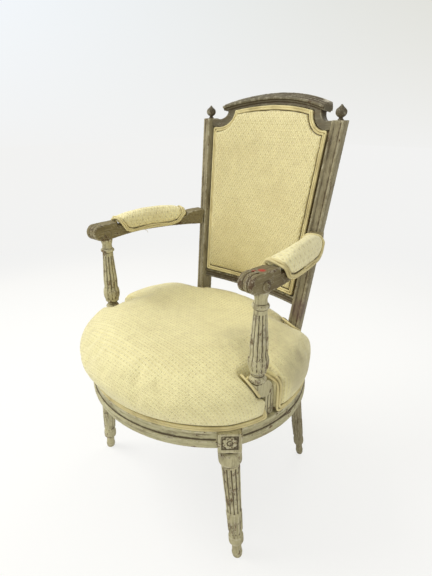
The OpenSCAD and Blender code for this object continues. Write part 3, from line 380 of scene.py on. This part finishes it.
BACK_CLOTH = sprig_cloth("back_cloth", rgb(219, 207, 148), rgb(160, 141, 86), 0.0110, 45, (
    # painted shade: the lower back, just above the seat, is made darker
    ((-0.02, 0.185, 0.520), 0.20, rgb(186, 170, 108), 0.40),)).material
ARM_CLOTH = sprig_cloth("arm_cloth", rgb(244, 235, 178), rgb(188, 168, 112)).material
PIPING = plain_cloth("piping_cloth", rgb(224, 212, 158), rgb(160, 142, 90)).material
BLACK_LINING = plain_cloth("lining", rgb(46, 44, 42), rgb(30, 29, 28)).material
JUTE = plain_cloth("jute", rgb(166, 146, 104), rgb(110, 92, 60), 300.0).material
BEECH = stained_wood("bare_beech", rgb(160, 124, 82), rgb(112, 82, 52)).material
RUST = stained_wood("rusted_iron", rgb(84, 62, 46), rgb(52, 40, 32)).material


# ---- Painted wood -----------------------------------------------------------------------

def thinned(mesh, most):
    """The same surface with no more than so many triangles, the carved places kept finest."""
    mesh.calc_loop_triangles()
    share = most / len(mesh.loop_triangles)
    if share >= 1:
        return mesh
    carrier = bpy.data.objects.new("thinned", mesh)
    bpy.context.scene.collection.objects.link(carrier)
    carrier.modifiers.new("thin", "DECIMATE").ratio = share
    graph = bpy.context.evaluated_depsgraph_get()
    result = bpy.data.meshes.new_from_object(carrier.evaluated_get(graph), preserve_all_data_layers=True,
                                             depsgraph=graph)
    bpy.data.objects.remove(carrier)
    return result


def worn_wood(node, material, voxel, most, chips=0.0003):
    """The node's own shape with softened arrises, small dents and a record of hollows and edges."""
    voxel = voxel * 1.0
    mesh = remeshed(merged_copy(node), voxel)
    edges = edges_of(mesh)
    co = averaged(places(mesh), edges, 1, 0.5)
    move_to(mesh, co)
    normal = normals_of(mesh)
    rounds = max(6, int((0.0055 / voxel) ** 2))
    broad = averaged(co, edges, rounds)
    near = averaged(co, edges, max(2, rounds // 6))
    relief = np.einsum("ij,ij->i", co - broad, normal)
    crisp = np.einsum("ij,ij->i", co - near, normal)
    # arrises are rubbed and knocked
    edge_share = np.clip(crisp / 0.00035, 0, 1)
    dents = np.clip(ripple(co, 190.0, len(node)) + ripple(co, 61.0, 3.0 + len(node)) - 0.35, 0, 1)
    co = co - normal * (chips * (0.4 * edge_share + 2.2 * edge_share * dents))[:, None]
    co = co - normal * (0.00012 * ripple(co, 420.0, 1.0))[:, None]
    move_to(mesh, co)
    value = 0.5 + np.clip(relief / 0.0030, -0.5, 0.5) * 0.65 + np.clip(crisp / 0.0007, -0.5, 0.5) * 0.35
    put_attribute(mesh, "relief", averaged(np.clip(value, 0, 1), edges, 1, 0.5))
    mesh = thinned(mesh, most)
    smooth_shaded(mesh)
    return add_object(node + "_worn", mesh, material, (node,))


worn_wood("front_left_leg", PAINT, 0.0010, 120000)
worn_wood("front_right_leg", PAINT, 0.0012, 80000)
worn_wood("rear_left_stile", PAINT_STILE, 0.0012, 120000)
worn_wood("rear_right_stile", PAINT_STILE, 0.0015, 80000)
worn_wood("front_seat_rail", PAINT_RAIL, 0.0013, 90000)
for rail in ("left_seat_rail", "right_seat_rail", "rear_seat_rail"):
    worn_wood(rail, PAINT_RAIL, 0.0016, 50000)
for rail in ("top_rail", "lower_back_rail"):
    worn_wood(rail, PAINT_CREST, 0.0012, 70000)
for finial in ("left_finial", "right_finial"):
    worn_wood(finial, PAINT_KNOP, 0.0007, 20000)
worn_wood("left_arm", PAINT_ARM, 0.0009, 70000)
worn_wood("right_arm", PAINT_ARM, 0.0012, 40000)
worn_wood("left_arm_support", PAINT, 0.0009, 90000)
worn_wood("right_arm_support", PAINT, 0.0010, 60000)


# ---- Upholstery -------------------------------------------------------------------------

def swollen(mesh, pressure, held, cap, frames=18):
    """Lets a closed cover swell like stuffed cloth; points where held is near 1 stay put."""
    start = places(mesh)
    pad = bpy.data.objects.new("swelling", mesh)
    bpy.context.scene.collection.objects.link(pad)
    group = pad.vertex_groups.new(name="held")
    for index in np.nonzero(held > 0.02)[0]:
        group.add([int(index)], float(min(held[index], 1.0)), "REPLACE")
    cloth = pad.modifiers.new("Cloth", "CLOTH")
    cloth.settings.use_pressure = True
    cloth.settings.uniform_pressure_force = pressure
    cloth.settings.effector_weights.gravity = 0
    cloth.settings.vertex_group_mass = "held"
    cloth.settings.tension_stiffness = cloth.settings.compression_stiffness = 18
    cloth.settings.quality = 5
    cloth.point_cache.frame_end = frames
    for step in range(1, frames + 1):
        bpy.context.scene.frame_set(step)
    depsgraph = bpy.context.evaluated_depsgraph_get()
    result = bpy.data.meshes.new_from_object(pad.evaluated_get(depsgraph))
    bpy.data.objects.remove(pad)
    bpy.context.scene.frame_set(1)
    end = places(result)
    step = end - start
    length = np.maximum(np.linalg.norm(step, axis=1), 1e-9)
    move_to(result, start + step * np.minimum(1, cap / length)[:, None])
    return result


def weave_map(mesh, u, v):
    """Lays the cloth's own lengthwise and crosswise distances on the mesh."""
    layer = mesh.uv_layers.new(name="weave")
    loops = np.empty(len(mesh.loops), dtype=np.int64)
    mesh.loops.foreach_get("vertex_index", loops)
    layer.data.foreach_set("uv", np.stack([u[loops], v[loops]], 1).astype(np.float32).ravel())


def doubled(mesh):
    return baked(mesh, ("SUBSURF", {"levels": 1, "render_levels": 1}))


def relaxed(mesh, rounds, share=0.5, keep=None):
    co = places(mesh)
    out = averaged(co, edges_of(mesh), rounds, share)
    if keep is not None:
        out = co + (out - co) * (1 - keep)[:, None]
    move_to(mesh, out)
    return mesh


def fuller(mesh):
    """Old stuffing has spread: the seat bulges to the front and one side and closes on the feet."""
    co = places(mesh)
    x, y, z = co[:, 0], co[:, 1] + MIDDLE, co[:, 2]
    r = np.maximum(np.hypot(x, y), 1e-6)
    dx, dy = x / r, y / r
    slump = 0.5 - 0.5 * (0.72 * dx + 0.69 * dy)
    far_side = 0.5 + 0.5 * (0.7 * dy - 0.7 * dx)
    band = np.exp(-((z - 0.402) / 0.034) ** 2) * ease(r, 0.17, 0.24)
    out = (0.016 * slump - 0.002) * band
    top = ease(r, 0.06, 0.18) * (1 - ease(r, 0.245, 0.275)) * ease(z, 0.405, 0.44)
    co[:, 0] += out * dx
    co[:, 1] += out * dy
    co[:, 2] += top * (0.004 + 0.014 * far_side)
    beside = y - FOOT_Y
    edge = ease(r, 0.19, 0.225)
    close = np.clip(1 - np.abs(beside) / 0.05, 0, 1) * edge * (np.abs(beside) > 0.010)
    co[:, 1] -= np.sign(beside) * 0.0035 * close
    lift = np.exp(-((beside + 0.032) / 0.020) ** 2 - ((z - 0.405) / 0.022) ** 2) * edge
    co[:, 2] += 0.010 * lift
    # drawn in flush with the outside of the feet
    room = np.where(beside < 0, 0.007, 0.0225) * ease(np.abs(beside), 0.014, 0.050)
    over = np.clip(np.abs(co[:, 0]) - 0.2575 - room, 0, None) * (1 - ease(z, 0.415, 0.438))
    over *= (np.abs(beside) < 0.050) * ease(z, 0.343, 0.350)
    co[:, 0] -= np.sign(co[:, 0]) * over
    move_to(mesh, co)


def seat_stuffing():
    mesh = remeshed(merged_copy("seat_cushion"), 0.0045)
    co = places(mesh)
    held = np.clip((RAIL_TOP + 0.022 - co[:, 2]) / 0.010, 0, 1)
    relaxed(mesh, 5, keep=held)
    mesh = swollen(mesh, 3.5, held, 0.012)
    fuller(mesh)
    relaxed(mesh, 4, keep=held)
    mesh = doubled(mesh)
    co = places(mesh)
    x, y, z = co[:, 0], co[:, 1] + MIDDLE, co[:, 2]
    # broad hollows where it has been sat on
    top = np.clip((z - RAIL_TOP - 0.07) / 0.04, 0, 1)
    dip = np.exp(-((x - 0.07) ** 2 + (y + 0.02) ** 2) / 0.016) * 0.004
    dip += np.exp(-((x + 0.09) ** 2 + (y - 0.03) ** 2) / 0.012) * 0.003
    co[:, 2] -= dip * top
    co += normals_of(mesh) * (0.0005 * ripple(co, 40.0, 2.0) * top)[:, None]
    move_to(mesh, co)
    smooth_shaded(mesh)
    # cloth distances run out from the middle and down the sides
    r = np.hypot(x, y)
    side = np.clip((RAIL_TOP + 0.105 - z), 0, 0.2) * np.clip((r - 0.2) / 0.05, 0, 1)
    out = (r + side) / np.maximum(r, 1e-4)
    weave_map(mesh, x * out, y * out)
    piece = add_object("stuffed_seat", mesh, SEAT_CLOTH, ("seat_cushion",))
    return piece


def to_back(co):
    """Place on the back: across it, behind its hollow face, and up it."""
    x, y, z = co[:, 0], co[:, 1] + MIDDLE - BACK_ORIGIN, co[:, 2] - SEAT_MARK
    yy = y * math.cos(RAKE) - z * math.sin(RAKE)
    w = y * math.sin(RAKE) + z * math.cos(RAKE)
    face = np.hypot(x, yy + BACK_RADIUS) - BACK_RADIUS
    u = np.arctan2(x, yy + BACK_RADIUS) * BACK_RADIUS
    return u, face, w


def back_stuffing():
    mesh = remeshed(merged_copy("back_pad"), 0.0035)
    co = places(mesh)
    u, face, w = to_back(co)
    front = np.clip(-face / 0.006, 0, 1)
    relaxed(mesh, 6, keep=1 - front)
    co = places(mesh)
    u, face, w = to_back(co)
    # crown: full in the middle, pulled in at the piping
    low, high = w.min(), w.max()
    rise = np.clip((w - low) * (high - w) / 0.0105, 0, 1)
    across = np.clip(1 - (u / 0.178) ** 2, 0, 1)
    crown = 0.010 * (rise * across) ** 0.55 - 0.0045
    out = -np.stack([np.sin(u / BACK_RADIUS), np.cos(u / BACK_RADIUS) * math.cos(RAKE),
                     -np.cos(u / BACK_RADIUS) * math.sin(RAKE)], 1)
    co = co + out * (crown * front)[:, None]
    move_to(mesh, co)
    relaxed(mesh, 3, keep=1 - front)
    mesh = doubled(mesh)
    smooth_shaded(mesh)
    u, face, w = to_back(places(mesh))
    weave_map(mesh, u, w)
    piece = add_object("stuffed_back", mesh, BACK_CLOTH, ("back_pad",))
    return piece


def arm_place(co, side):
    """Place on a bowed arm: along it from its support, across it inwards, and up."""
    dx, dy = side * co[:, 0] - SUPPORT_X, co[:, 1] + MIDDLE - SUPPORT_Y
    chord = dx * math.cos(ARM_TURN) + dy * math.sin(ARM_TURN) - ARM_REACH / 2
    depth = ARM_CURVE - ARM_BOW + dx * math.sin(ARM_TURN) - dy * math.cos(ARM_TURN)
    reach = np.hypot(chord, depth)
    return ARM_REACH / 2 + ARM_CURVE * chord / reach, ARM_CURVE - reach, co[:, 2]


def arm_point(along, across, z, side):
    """The place in the room of a place on a bowed arm."""
    turn = math.asin((along - ARM_REACH / 2) / ARM_CURVE)
    chord = ARM_REACH / 2 + (ARM_CURVE - across) * math.sin(turn)
    inward = ARM_CURVE - ARM_BOW - (ARM_CURVE - across) * math.cos(turn)
    x = SUPPORT_X + chord * math.cos(ARM_TURN) - inward * math.sin(ARM_TURN)
    y = SUPPORT_Y + chord * math.sin(ARM_TURN) + inward * math.cos(ARM_TURN)
    return (side * x, y - MIDDLE, z)


def arm_stuffing(name, side):
    mesh = remeshed(merged_copy(name + "_arm_pad"), 0.0022)
    co = places(mesh)
    along, across, z = arm_place(co, side)
    inner = np.clip((ARM_UNDERSIDE + 0.031 - z) / 0.004, 0, 1) * (np.abs(across) < 0.0185)
    relaxed(mesh, 14, keep=inner)
    held = np.maximum(inner, np.clip((ARM_UNDERSIDE + 0.016 - z) / 0.006, 0, 1))
    mesh = swollen(mesh, 2.0, held, 0.0025, 12)
    relaxed(mesh, 3, keep=inner)
    mesh = doubled(mesh)
    smooth_shaded(mesh)
    along, across, z = arm_place(places(mesh), side)
    round_it = np.arctan2(across, z - ARM_UNDERSIDE - 0.014) * 0.032
    weave_map(mesh, along, round_it)
    piece = add_object(name + "_arm_stuffing", mesh, ARM_CLOTH, (name + "_arm_pad",))
    return piece


SEAT = seat_stuffing()
BACK = back_stuffing()
ARM_PADS = [arm_stuffing("left", 1), arm_stuffing("right", -1)]


# ---- Piping -----------------------------------------------------------------------------

def cord_mesh(paths, radius, closed=False):
    """Round cord swept along paths of points."""
    curve = bpy.data.curves.new("cord", "CURVE")
    curve.dimensions = "3D"
    curve.bevel_depth = radius
    curve.bevel_resolution = 3
    curve.use_fill_caps = True
    for path in paths:
        spline = curve.splines.new("POLY")
        spline.points.add(len(path) - 1)
        for point, place in zip(spline.points, path):
            point.co = (*place, 1)
        spline.use_cyclic_u = closed
    holder = bpy.data.objects.new("cord", curve)
    bpy.context.scene.collection.objects.link(holder)
    bpy.context.view_layer.update()
    depsgraph = bpy.context.evaluated_depsgraph_get()
    mesh = bpy.data.meshes.new_from_object(holder.evaluated_get(depsgraph))
    bpy.data.objects.remove(holder)
    return smooth_shaded(mesh)


def sewn_in(piece, paths, reach=0.0034):
    """Draws the cover in along its cords and paints shade into the seam beside them."""
    count = sum(len(path) for path in paths)
    near = KDTree(count)
    index = 0
    for path in paths:
        for place in path:
            near.insert(Vector(place), index)
            index += 1
    near.balance()
    mesh = piece.data
    co, normal = places(mesh), normals_of(mesh)
    away = np.array([near.find(Vector(place))[2] for place in co])
    co -= normal * (0.0022 * np.exp(-(away / 0.0065) ** 2))[:, None]
    move_to(mesh, co)
    # painted shade along the seam beside the cords
    put_attribute(mesh, "seam_shade", 1 - ease(away, reach, reach + 0.0035))


def even_path(points, gap):
    """The same line with evenly spaced points."""
    p = np.array(points, dtype=float)
    step = np.concatenate([[0], np.cumsum(np.linalg.norm(np.diff(p, axis=0), axis=1))])
    count = max(3, int(step[-1] / gap))
    at = np.linspace(0, step[-1], count)
    return np.stack([np.interp(at, step, p[:, k]) for k in range(3)], 1)


def rounded_path(points, gap, rounds):
    p = even_path(points, gap)
    for _ in range(rounds):
        p[1:-1] = p[1:-1] * 0.5 + (p[:-2] + p[2:]) * 0.25
    return p


def plan_radius(angle, inset):
    """How far the edge of the seat is from its centre, in a direction."""
    best = SEAT_RADIUS - inset
    for radius, centre in ((FRONT_BOW, FRONT_CENTRE), (REAR_BOW, REAR_CENTRE)):
        r, s = radius - inset, math.sin(angle)
        hit = centre * s + math.sqrt(max(r * r - (centre * math.cos(angle)) ** 2, 0))
        best = min(best, hit)
    return best


def plan_point(angle, inset, z):
    r = plan_radius(angle, inset)
    return (r * math.cos(angle), r * math.sin(angle) - MIDDLE, z)


def notch_half(row):
    """From the middle of an arm support's foot to the inner or the outer cord beside it."""
    return 0.0162 + 0.0052 * row


def notch_line(row, way):
    """Side view of a cord that frames an arm support's foot, from the rail up: y and height."""
    half = notch_half(row)
    if way > 0:
        return [(FOOT_Y + half, 0.0120), (FOOT_Y + half, 0.0620), (FOOT_Y + half - 0.002, 0.0740),
                (FOOT_Y + half - 0.008, 0.0850)]
    line = [(FOOT_Y - half, 0.0120), (FOOT_Y - half, 0.0540)]
    for t in (70, 50, 30, 10):
        a = math.radians(t)
        line.append((FOOT_Y - half - 0.028 * math.cos(a), 0.0860 - 0.0260 * math.sin(a)))
    return line + [(FOOT_Y - half - 0.0285, 0.0920), (FOOT_Y - half - 0.026, 0.1010)]


def surface_tree(piece):
    bm = bmesh.new()
    bm.from_mesh(piece.data)
    tree = BVHTree.FromBMesh(bm)
    bm.free()
    return tree


def seat_piping():
    """Double cords on the rail round the seat, up beside the arm supports and in front of the stiles."""
    tree = surface_tree(SEAT)

    def rise(row, way, side):
        out = []
        for y, up in notch_line(row, way):
            z = RAIL_TOP + up
            start = Vector((side * 0.4, y - MIDDLE + way * 0.006, z))
            hit = tree.ray_cast(start, Vector((-side, 0, 0)), 0.19)[0]
            x = hit.x if hit is not None else out[-1][0]
            proud = 0.0006 if way > 0 else 0.0036
            out.append((x + side * proud, y - MIDDLE, z))
        return out

    def round_stile(row, side):
        """Over the cushion's edge in front of a stile."""
        turn = math.radians(15)
        wide, deep = (math.cos(turn), -math.sin(turn)), (math.sin(turn), math.cos(turn))
        cx, cy, off = 0.1595, 0.1875, 0.0050 + 0.0054 * row
        out = []
        for w, d in ((-0.015 - off, 0.012), (-0.015 - off, -0.010), (-0.013 - off, -0.014 - off),
                     (0.0, -0.016 - off), (0.013 + off, -0.014 - off), (0.015 + off, -0.006),
                     (0.015 + off, 0.010)):
            x, y = cx + w * wide[0] + d * deep[0], cy + w * wide[1] + d * deep[1]
            px, py = x + 0.004 * w * wide[0] / 0.02, y - 0.004
            hit = tree.ray_cast(Vector((side * px, py - MIDDLE, 0.6)), Vector((0, 0, -1)), 0.26)[0]
            if hit is not None:
                out.append((side * x, y - MIDDLE, hit.z + 0.0006))
        return out

    front, sides, rear = [], {1: [], -1: []}, []
    for row in (0, 1):
        z = RAIL_TOP + CORD * (1 + 1.95 * row)
        inset = 0.0008 + CORD
        half = notch_half(row)
        start = math.asin((FOOT_Y - half) / SEAT_RADIUS)
        ring = [plan_point(a, inset, z) for a in np.linspace(start, -math.pi - start, 260)]
        path = rise(row, -1, 1)[::-1] + ring + rise(row, -1, -1)
        front.append(rounded_path(path, 0.0035, 3))
        begin, end = math.asin((FOOT_Y + half) / SEAT_RADIUS), math.atan2(0.166, 0.186)
        for side in (1, -1):
            arc = [plan_point(a, inset, z) for a in np.linspace(begin, end, 60)]
            arc = [(side * p[0], p[1], p[2]) for p in arc]
            sides[side].append(rounded_path(rise(row, 1, side)[::-1] + arc, 0.004, 4))
            over = round_stile(row, side)
            if len(over) > 3:
                sides[side].append(rounded_path(over, 0.004, 3))
        span = [plan_point(a, inset, z) for a in np.linspace(math.radians(57), math.radians(123), 60)]
        rear.append(rounded_path(span, 0.004, 2))
    sewn_in(SEAT, front + sides[1] + sides[-1] + rear)
    for place, paths in (("front", front), ("left", sides[1]), ("right", sides[-1]), ("rear", rear)):
        add_object(place + "_seat_cords", cord_mesh(paths, CORD), PIPING,
                   (place + "_seat_welt",))


def back_point(u, face, w):
    """A place on the hollow back: u across, face behind the hollow surface, w up it."""
    a = u / BACK_RADIUS
    x = (BACK_RADIUS + face) * math.sin(a)
    y = (BACK_RADIUS + face) * math.cos(a) - BACK_RADIUS
    return (x, BACK_ORIGIN + y * math.cos(RAKE) + w * math.sin(RAKE) - MIDDLE,
            SEAT_MARK - y * math.sin(RAKE) + w * math.cos(RAKE))


def panel_line(inset):
    """Half outline of the upholstered panel from the bottom middle, as seen from the front."""
    low, shoulder, spring = 0.099, 0.479238, 0.522238
    half_width, corner = 0.159744, 0.043
    lean = math.tan(math.radians(3.76636))
    side_low = 0.139054

    def side(w):
        return side_low + w * lean - inset

    line = [(u, low + inset) for u in np.linspace(0, side(low + inset), 14)]
    line += [(side(w), w) for w in np.linspace(low + inset, shoulder - inset, 34)][1:]
    line += [(u, shoulder - inset) for u in np.linspace(side(shoulder - inset), half_width, 5)][1:]
    for t in np.linspace(270, 180, 16)[1:]:
        a = math.radians(t)
        line.append((half_width + (corner + inset) * math.cos(a), spring + (corner + inset) * math.sin(a)))
    radius = 0.461808
    centre = spring + 0.015 - radius - inset
    end = half_width - corner - inset
    for u in np.linspace(end, 0, 18):
        line.append((u, centre + math.sqrt(radius * radius - u * u)))
    return line


def back_piping():
    """Double cord round the front of the back."""
    paths = []
    for inset, face in ((0.0034, -0.0030), (0.0086, -0.0038)):
        half = panel_line(inset)
        loop = half + [(-u, w) for u, w in reversed(half)][1:-1]
        points = [back_point(BACK_RADIUS * math.asin(u / BACK_RADIUS), face, w) for u, w in loop]
        points.append(points[0])
        path = rounded_path(points, 0.003, 1)
        paths.append(path[:-1])
    sewn_in(BACK, paths, 0.0030)
    mesh = cord_mesh(paths, 0.0027, closed=True)
    add_object("back_cords", mesh, PIPING, ("back_welt",))


def arm_piping(name, side, pad):
    """Double cord round an arm pad; a loose thread hangs from the right one."""
    tree = surface_tree(pad)
    u = ARM_UNDERSIDE
    hem = [(0.030, 0.038), (0.036, 0.030), (0.044, 0.015), (0.063, 0.008), (0.092, 0.0085),
           (0.121, 0.009), (0.187, 0.010), (0.212, 0.017), (0.229, 0.038)]
    paths = []
    for inset in (0.0030, 0.0080):
        def laid(along, spread):
            """Over the top of the pad from one side to the other."""
            out = []
            for across in np.linspace(spread, -spread, 9):
                start = Vector(arm_point(along, across, u + 0.09, side))
                hit = tree.ray_cast(start, Vector((0, 0, -1)), 0.08)[0]
                if hit is not None:
                    out.append((along, across, hit.z + 0.0006))
            return out

        sides = {}
        for face in (1, -1):
            line = []
            for a, z in even_path([(p[0], 0, p[1]) for p in hem], 0.004)[:, [0, 2]]:
                middle = np.array([0.126, 0.055])
                d = middle - np.array([a, z])
                d /= np.linalg.norm(d)
                a2, z2 = a + d[0] * inset, z + d[1] * inset
                start = Vector(arm_point(a2, face * 0.05, u + z2, side))
                aim = Vector(arm_point(a2, 0.0, u + z2, side)) - start
                hit = tree.ray_cast(start, aim.normalized(), 0.032)
                width = 0.0225
                if hit[0] is not None:
                    width = (hit[0] - Vector(arm_point(a2, 0.0, u + z2, side))).length
                line.append((a2, face * max(width, 0.0195), u + z2))
            sides[face] = line
        over_front = laid(0.0265 + inset, 0.0165)
        over_rear = laid(0.2275 - inset, 0.0165)[::-1]
        loop = sides[1][::-1] + over_front + sides[-1] + over_rear
        points = [arm_point(*p, side) for p in loop]
        points.append(points[0])
        paths.append(rounded_path(points, 0.003, 2)[:-1])
    sewn_in(pad, paths, 0.0028)
    mesh = cord_mesh(paths, 0.0026, closed=True)
    if side < 0:
        bm = bmesh.new()
        bm.from_mesh(mesh)
        hang = [arm_point(0.120, -0.0235, u + 0.008, side), arm_point(0.124, -0.0250, u - 0.004, side),
                arm_point(0.132, -0.0240, u - 0.009, side), arm_point(0.135, -0.0260, u - 0.015, side)]
        bm.from_mesh(cord_mesh([rounded_path(hang, 0.001, 4)], 0.0005))
        bm.to_mesh(mesh)
        bm.free()
        smooth_shaded(mesh)
    add_object(name + "_arm_cords", mesh, PIPING, (name + "_arm_pad_welt",))


seat_piping()
back_piping()
arm_piping("left", 1, ARM_PADS[0])
arm_piping("right", -1, ARM_PADS[1])


# ---- Covers that are not stuffed --------------------------------------------------------

COVER_CLEAR, COVER_SAG, COVER_THICKNESS = 0.0008, 0.004, 0.0009


def outside_back():
    """The cloth over the rear of the back, taut on its panel."""
    mesh = remeshed(merged_copy("outside_back_panel"), 0.003)
    smooth_shaded(mesh)
    u, _, w = to_back(places(mesh))
    weave_map(mesh, u, w)
    piece = add_object("outside_back_cloth", mesh, BACK_CLOTH, ("outside_back_panel",))


def dust_cover():
    """Thin black cloth stretched and tacked under the seat frame, sagging a little with age."""
    co = places(NODES["seat_dust_cover"].data)
    tacked = SEAT_RADIUS - np.abs(co[:, 0]).max() + COVER_CLEAR
    base = co[:, 2].min()
    bm = bmesh.new()
    bmesh.ops.create_grid(bm, x_segments=64, y_segments=64, size=1.0)
    for vert in bm.verts:
        x, y = vert.co.x, vert.co.y
        share = max(abs(x), abs(y))
        angle = math.atan2(y, x)
        px, py, _ = plan_point(angle, tacked, 0)
        sag = (1 - share * share) ** 2
        pucker = 0.00025 * math.sin(34 * angle) * share ** 6
        height = base + 0.0002 + 0.0004 * share + pucker - COVER_SAG * sag
        vert.co = (px * share, (py + MIDDLE) * share - MIDDLE, height)
    bmesh.ops.solidify(bm, geom=bm.faces[:], thickness=COVER_THICKNESS)
    bmesh.ops.recalc_face_normals(bm, faces=bm.faces[:])
    mesh = bpy.data.meshes.new("dust_cover")
    bm.to_mesh(mesh)
    bm.free()
    smooth_shaded(mesh)
    piece = add_object("seat_dust_cover_cloth", mesh, BLACK_LINING, ("seat_dust_cover",))


outside_back()
dust_cover()
for node, material in (("seat_hessian", JUTE), ("back_hessian", JUTE),
                       ("seat_webbing_lengthwise", JUTE), ("seat_webbing_crosswise", JUTE),
                       ("seat_frame_dowels", BEECH), ("back_frame_dowels", BEECH),
                       ("corner_block_screws", RUST), ("front_left_corner_block", BEECH),
                       ("front_right_corner_block", BEECH), ("rear_left_corner_block", BEECH),
                       ("rear_right_corner_block", BEECH)):
    mesh = NODES[node].data
    mesh.materials.clear()
    mesh.materials.append(material)


# ---- Studio -----------------------------------------------------------------------------

HORIZON = (0.89, 0.89, 0.88, 1)


def studio_floor():
    bm = bmesh.new()
    bmesh.ops.create_grid(bm, x_segments=2, y_segments=2, size=12.0)
    mesh = bpy.data.meshes.new("floor")
    bm.to_mesh(mesh)
    bm.free()
    floor = bpy.data.objects.new("floor", mesh)
    bpy.context.scene.collection.objects.link(floor)
    t = Tree("white_floor")
    t.shader.inputs["Base Color"].default_value = (0.92, 0.915, 0.89, 1)
    t.shader.inputs["Roughness"].default_value = 0.7
    t.shader.inputs["Specular IOR Level"].default_value = 0.1
    away = t.add("ShaderNodeVectorMath", {0: t.coords}, operation="LENGTH").outputs["Value"]
    seen = t.nodes.new("ShaderNodeLightPath").outputs["Is Camera Ray"]
    far_off = t.between(away, 0.5, 2.4)
    share = t.math("MULTIPLY", t.math("MAXIMUM", far_off, 0.72), seen)
    tint = t.mix(far_off, (1.0, 1.0, 0.985, 1), HORIZON)
    glow = t.add("ShaderNodeEmission", {"Color": tint, "Strength": 1.0}).outputs[0]
    mixed = t.add("ShaderNodeMixShader", {0: share, 1: t.shader.outputs[0], 2: glow}).outputs[0]
    t.put(t.nodes["Material Output"].inputs["Surface"], mixed)
    mesh.materials.append(t.material)


def area_lamp(name, place, aim, size, power, colour=(1, 1, 1)):
    data = bpy.data.lights.new(name, "AREA")
    data.shape = "DISK"
    data.size = size
    data.energy = power
    data.color = colour
    lamp = bpy.data.objects.new(name, data)
    lamp.location = place
    lamp.rotation_mode = "QUATERNION"
    lamp.rotation_quaternion = (Vector(aim) - Vector(place)).to_track_quat("-Z", "Y")
    bpy.context.scene.collection.objects.link(lamp)


def studio():
    studio_floor()
    area_lamp("key", (-1.7, -1.1, 2.8), (0, 0, 0.4), 1.8, 58, (1.0, 0.99, 0.955))
    area_lamp("fill", (1.9, -2.4, 1.8), (0, 0, 0.4), 2.4, 13, (1.0, 0.99, 0.97))
    area_lamp("behind", (-0.6, 2.6, 2.4), (0, 0, 0.6), 2.0, 14, (1, 1, 1))
    world = bpy.data.worlds.new("studio")
    bpy.context.scene.world = world
    world.use_nodes = True
    nodes, links = world.node_tree.nodes, world.node_tree.links
    back = nodes["Background"]
    back.inputs["Color"].default_value = (1, 0.99, 0.965, 1)
    back.inputs["Strength"].default_value = 0.62
    seen = nodes.new("ShaderNodeBackground")
    where = nodes.new("ShaderNodeTexCoord").outputs["Generated"]
    across = nodes.new("ShaderNodeVectorMath")
    across.operation = "DOT_PRODUCT"
    across.inputs[1].default_value = (0.723, 0.691, 0)
    links.new(where, across.inputs[0])
    side = nodes.new("ShaderNodeMapRange")
    side.inputs["From Min"].default_value, side.inputs["From Max"].default_value = -0.42, 0.42
    links.new(across.outputs["Value"], side.inputs["Value"])
    height = nodes.new("ShaderNodeSeparateXYZ")
    links.new(where, height.inputs[0])
    up = nodes.new("ShaderNodeMapRange")
    up.inputs["From Min"].default_value, up.inputs["From Max"].default_value = -0.09, 0.20
    links.new(height.outputs["Z"], up.inputs["Value"])
    high = nodes.new("ShaderNodeMix")
    high.data_type = "RGBA"
    links.new(side.outputs[0], high.inputs[0])
    high.inputs[6].default_value = (0.90, 0.94, 0.98, 1)
    high.inputs[7].default_value = (0.75, 0.75, 0.70, 1)
    sky = nodes.new("ShaderNodeMix")
    sky.data_type = "RGBA"
    links.new(up.outputs[0], sky.inputs[0])
    sky.inputs[6].default_value = HORIZON
    links.new(high.outputs[2], sky.inputs[7])
    links.new(sky.outputs[2], seen.inputs["Color"])
    path = nodes.new("ShaderNodeLightPath")
    mix = nodes.new("ShaderNodeMixShader")
    links.new(path.outputs["Is Camera Ray"], mix.inputs[0])
    links.new(back.outputs[0], mix.inputs[1])
    links.new(seen.outputs[0], mix.inputs[2])
    links.new(mix.outputs[0], nodes["World Output"].inputs[0])


def camera():
    """Looking down on the chair from its left front."""
    azimuth, fall = math.radians(43.7), math.radians(22.2)
    data = bpy.data.cameras.new("camera")
    data.sensor_fit = "VERTICAL"
    data.sensor_height = 36.0
    data.lens = 27.0625
    eye = bpy.data.objects.new("camera", data)
    eye.location = (0.6772, -0.6367 - MIDDLE, 0.9154)
    look = Vector((-math.sin(azimuth) * math.cos(fall), math.cos(azimuth) * math.cos(fall), -math.sin(fall)))
    eye.rotation_mode = "QUATERNION"
    eye.rotation_quaternion = look.to_track_quat("-Z", "Y")
    bpy.context.scene.collection.objects.link(eye)
    bpy.context.scene.camera = eye


studio()
camera()
bpy.context.scene.view_settings.view_transform = "Standard"
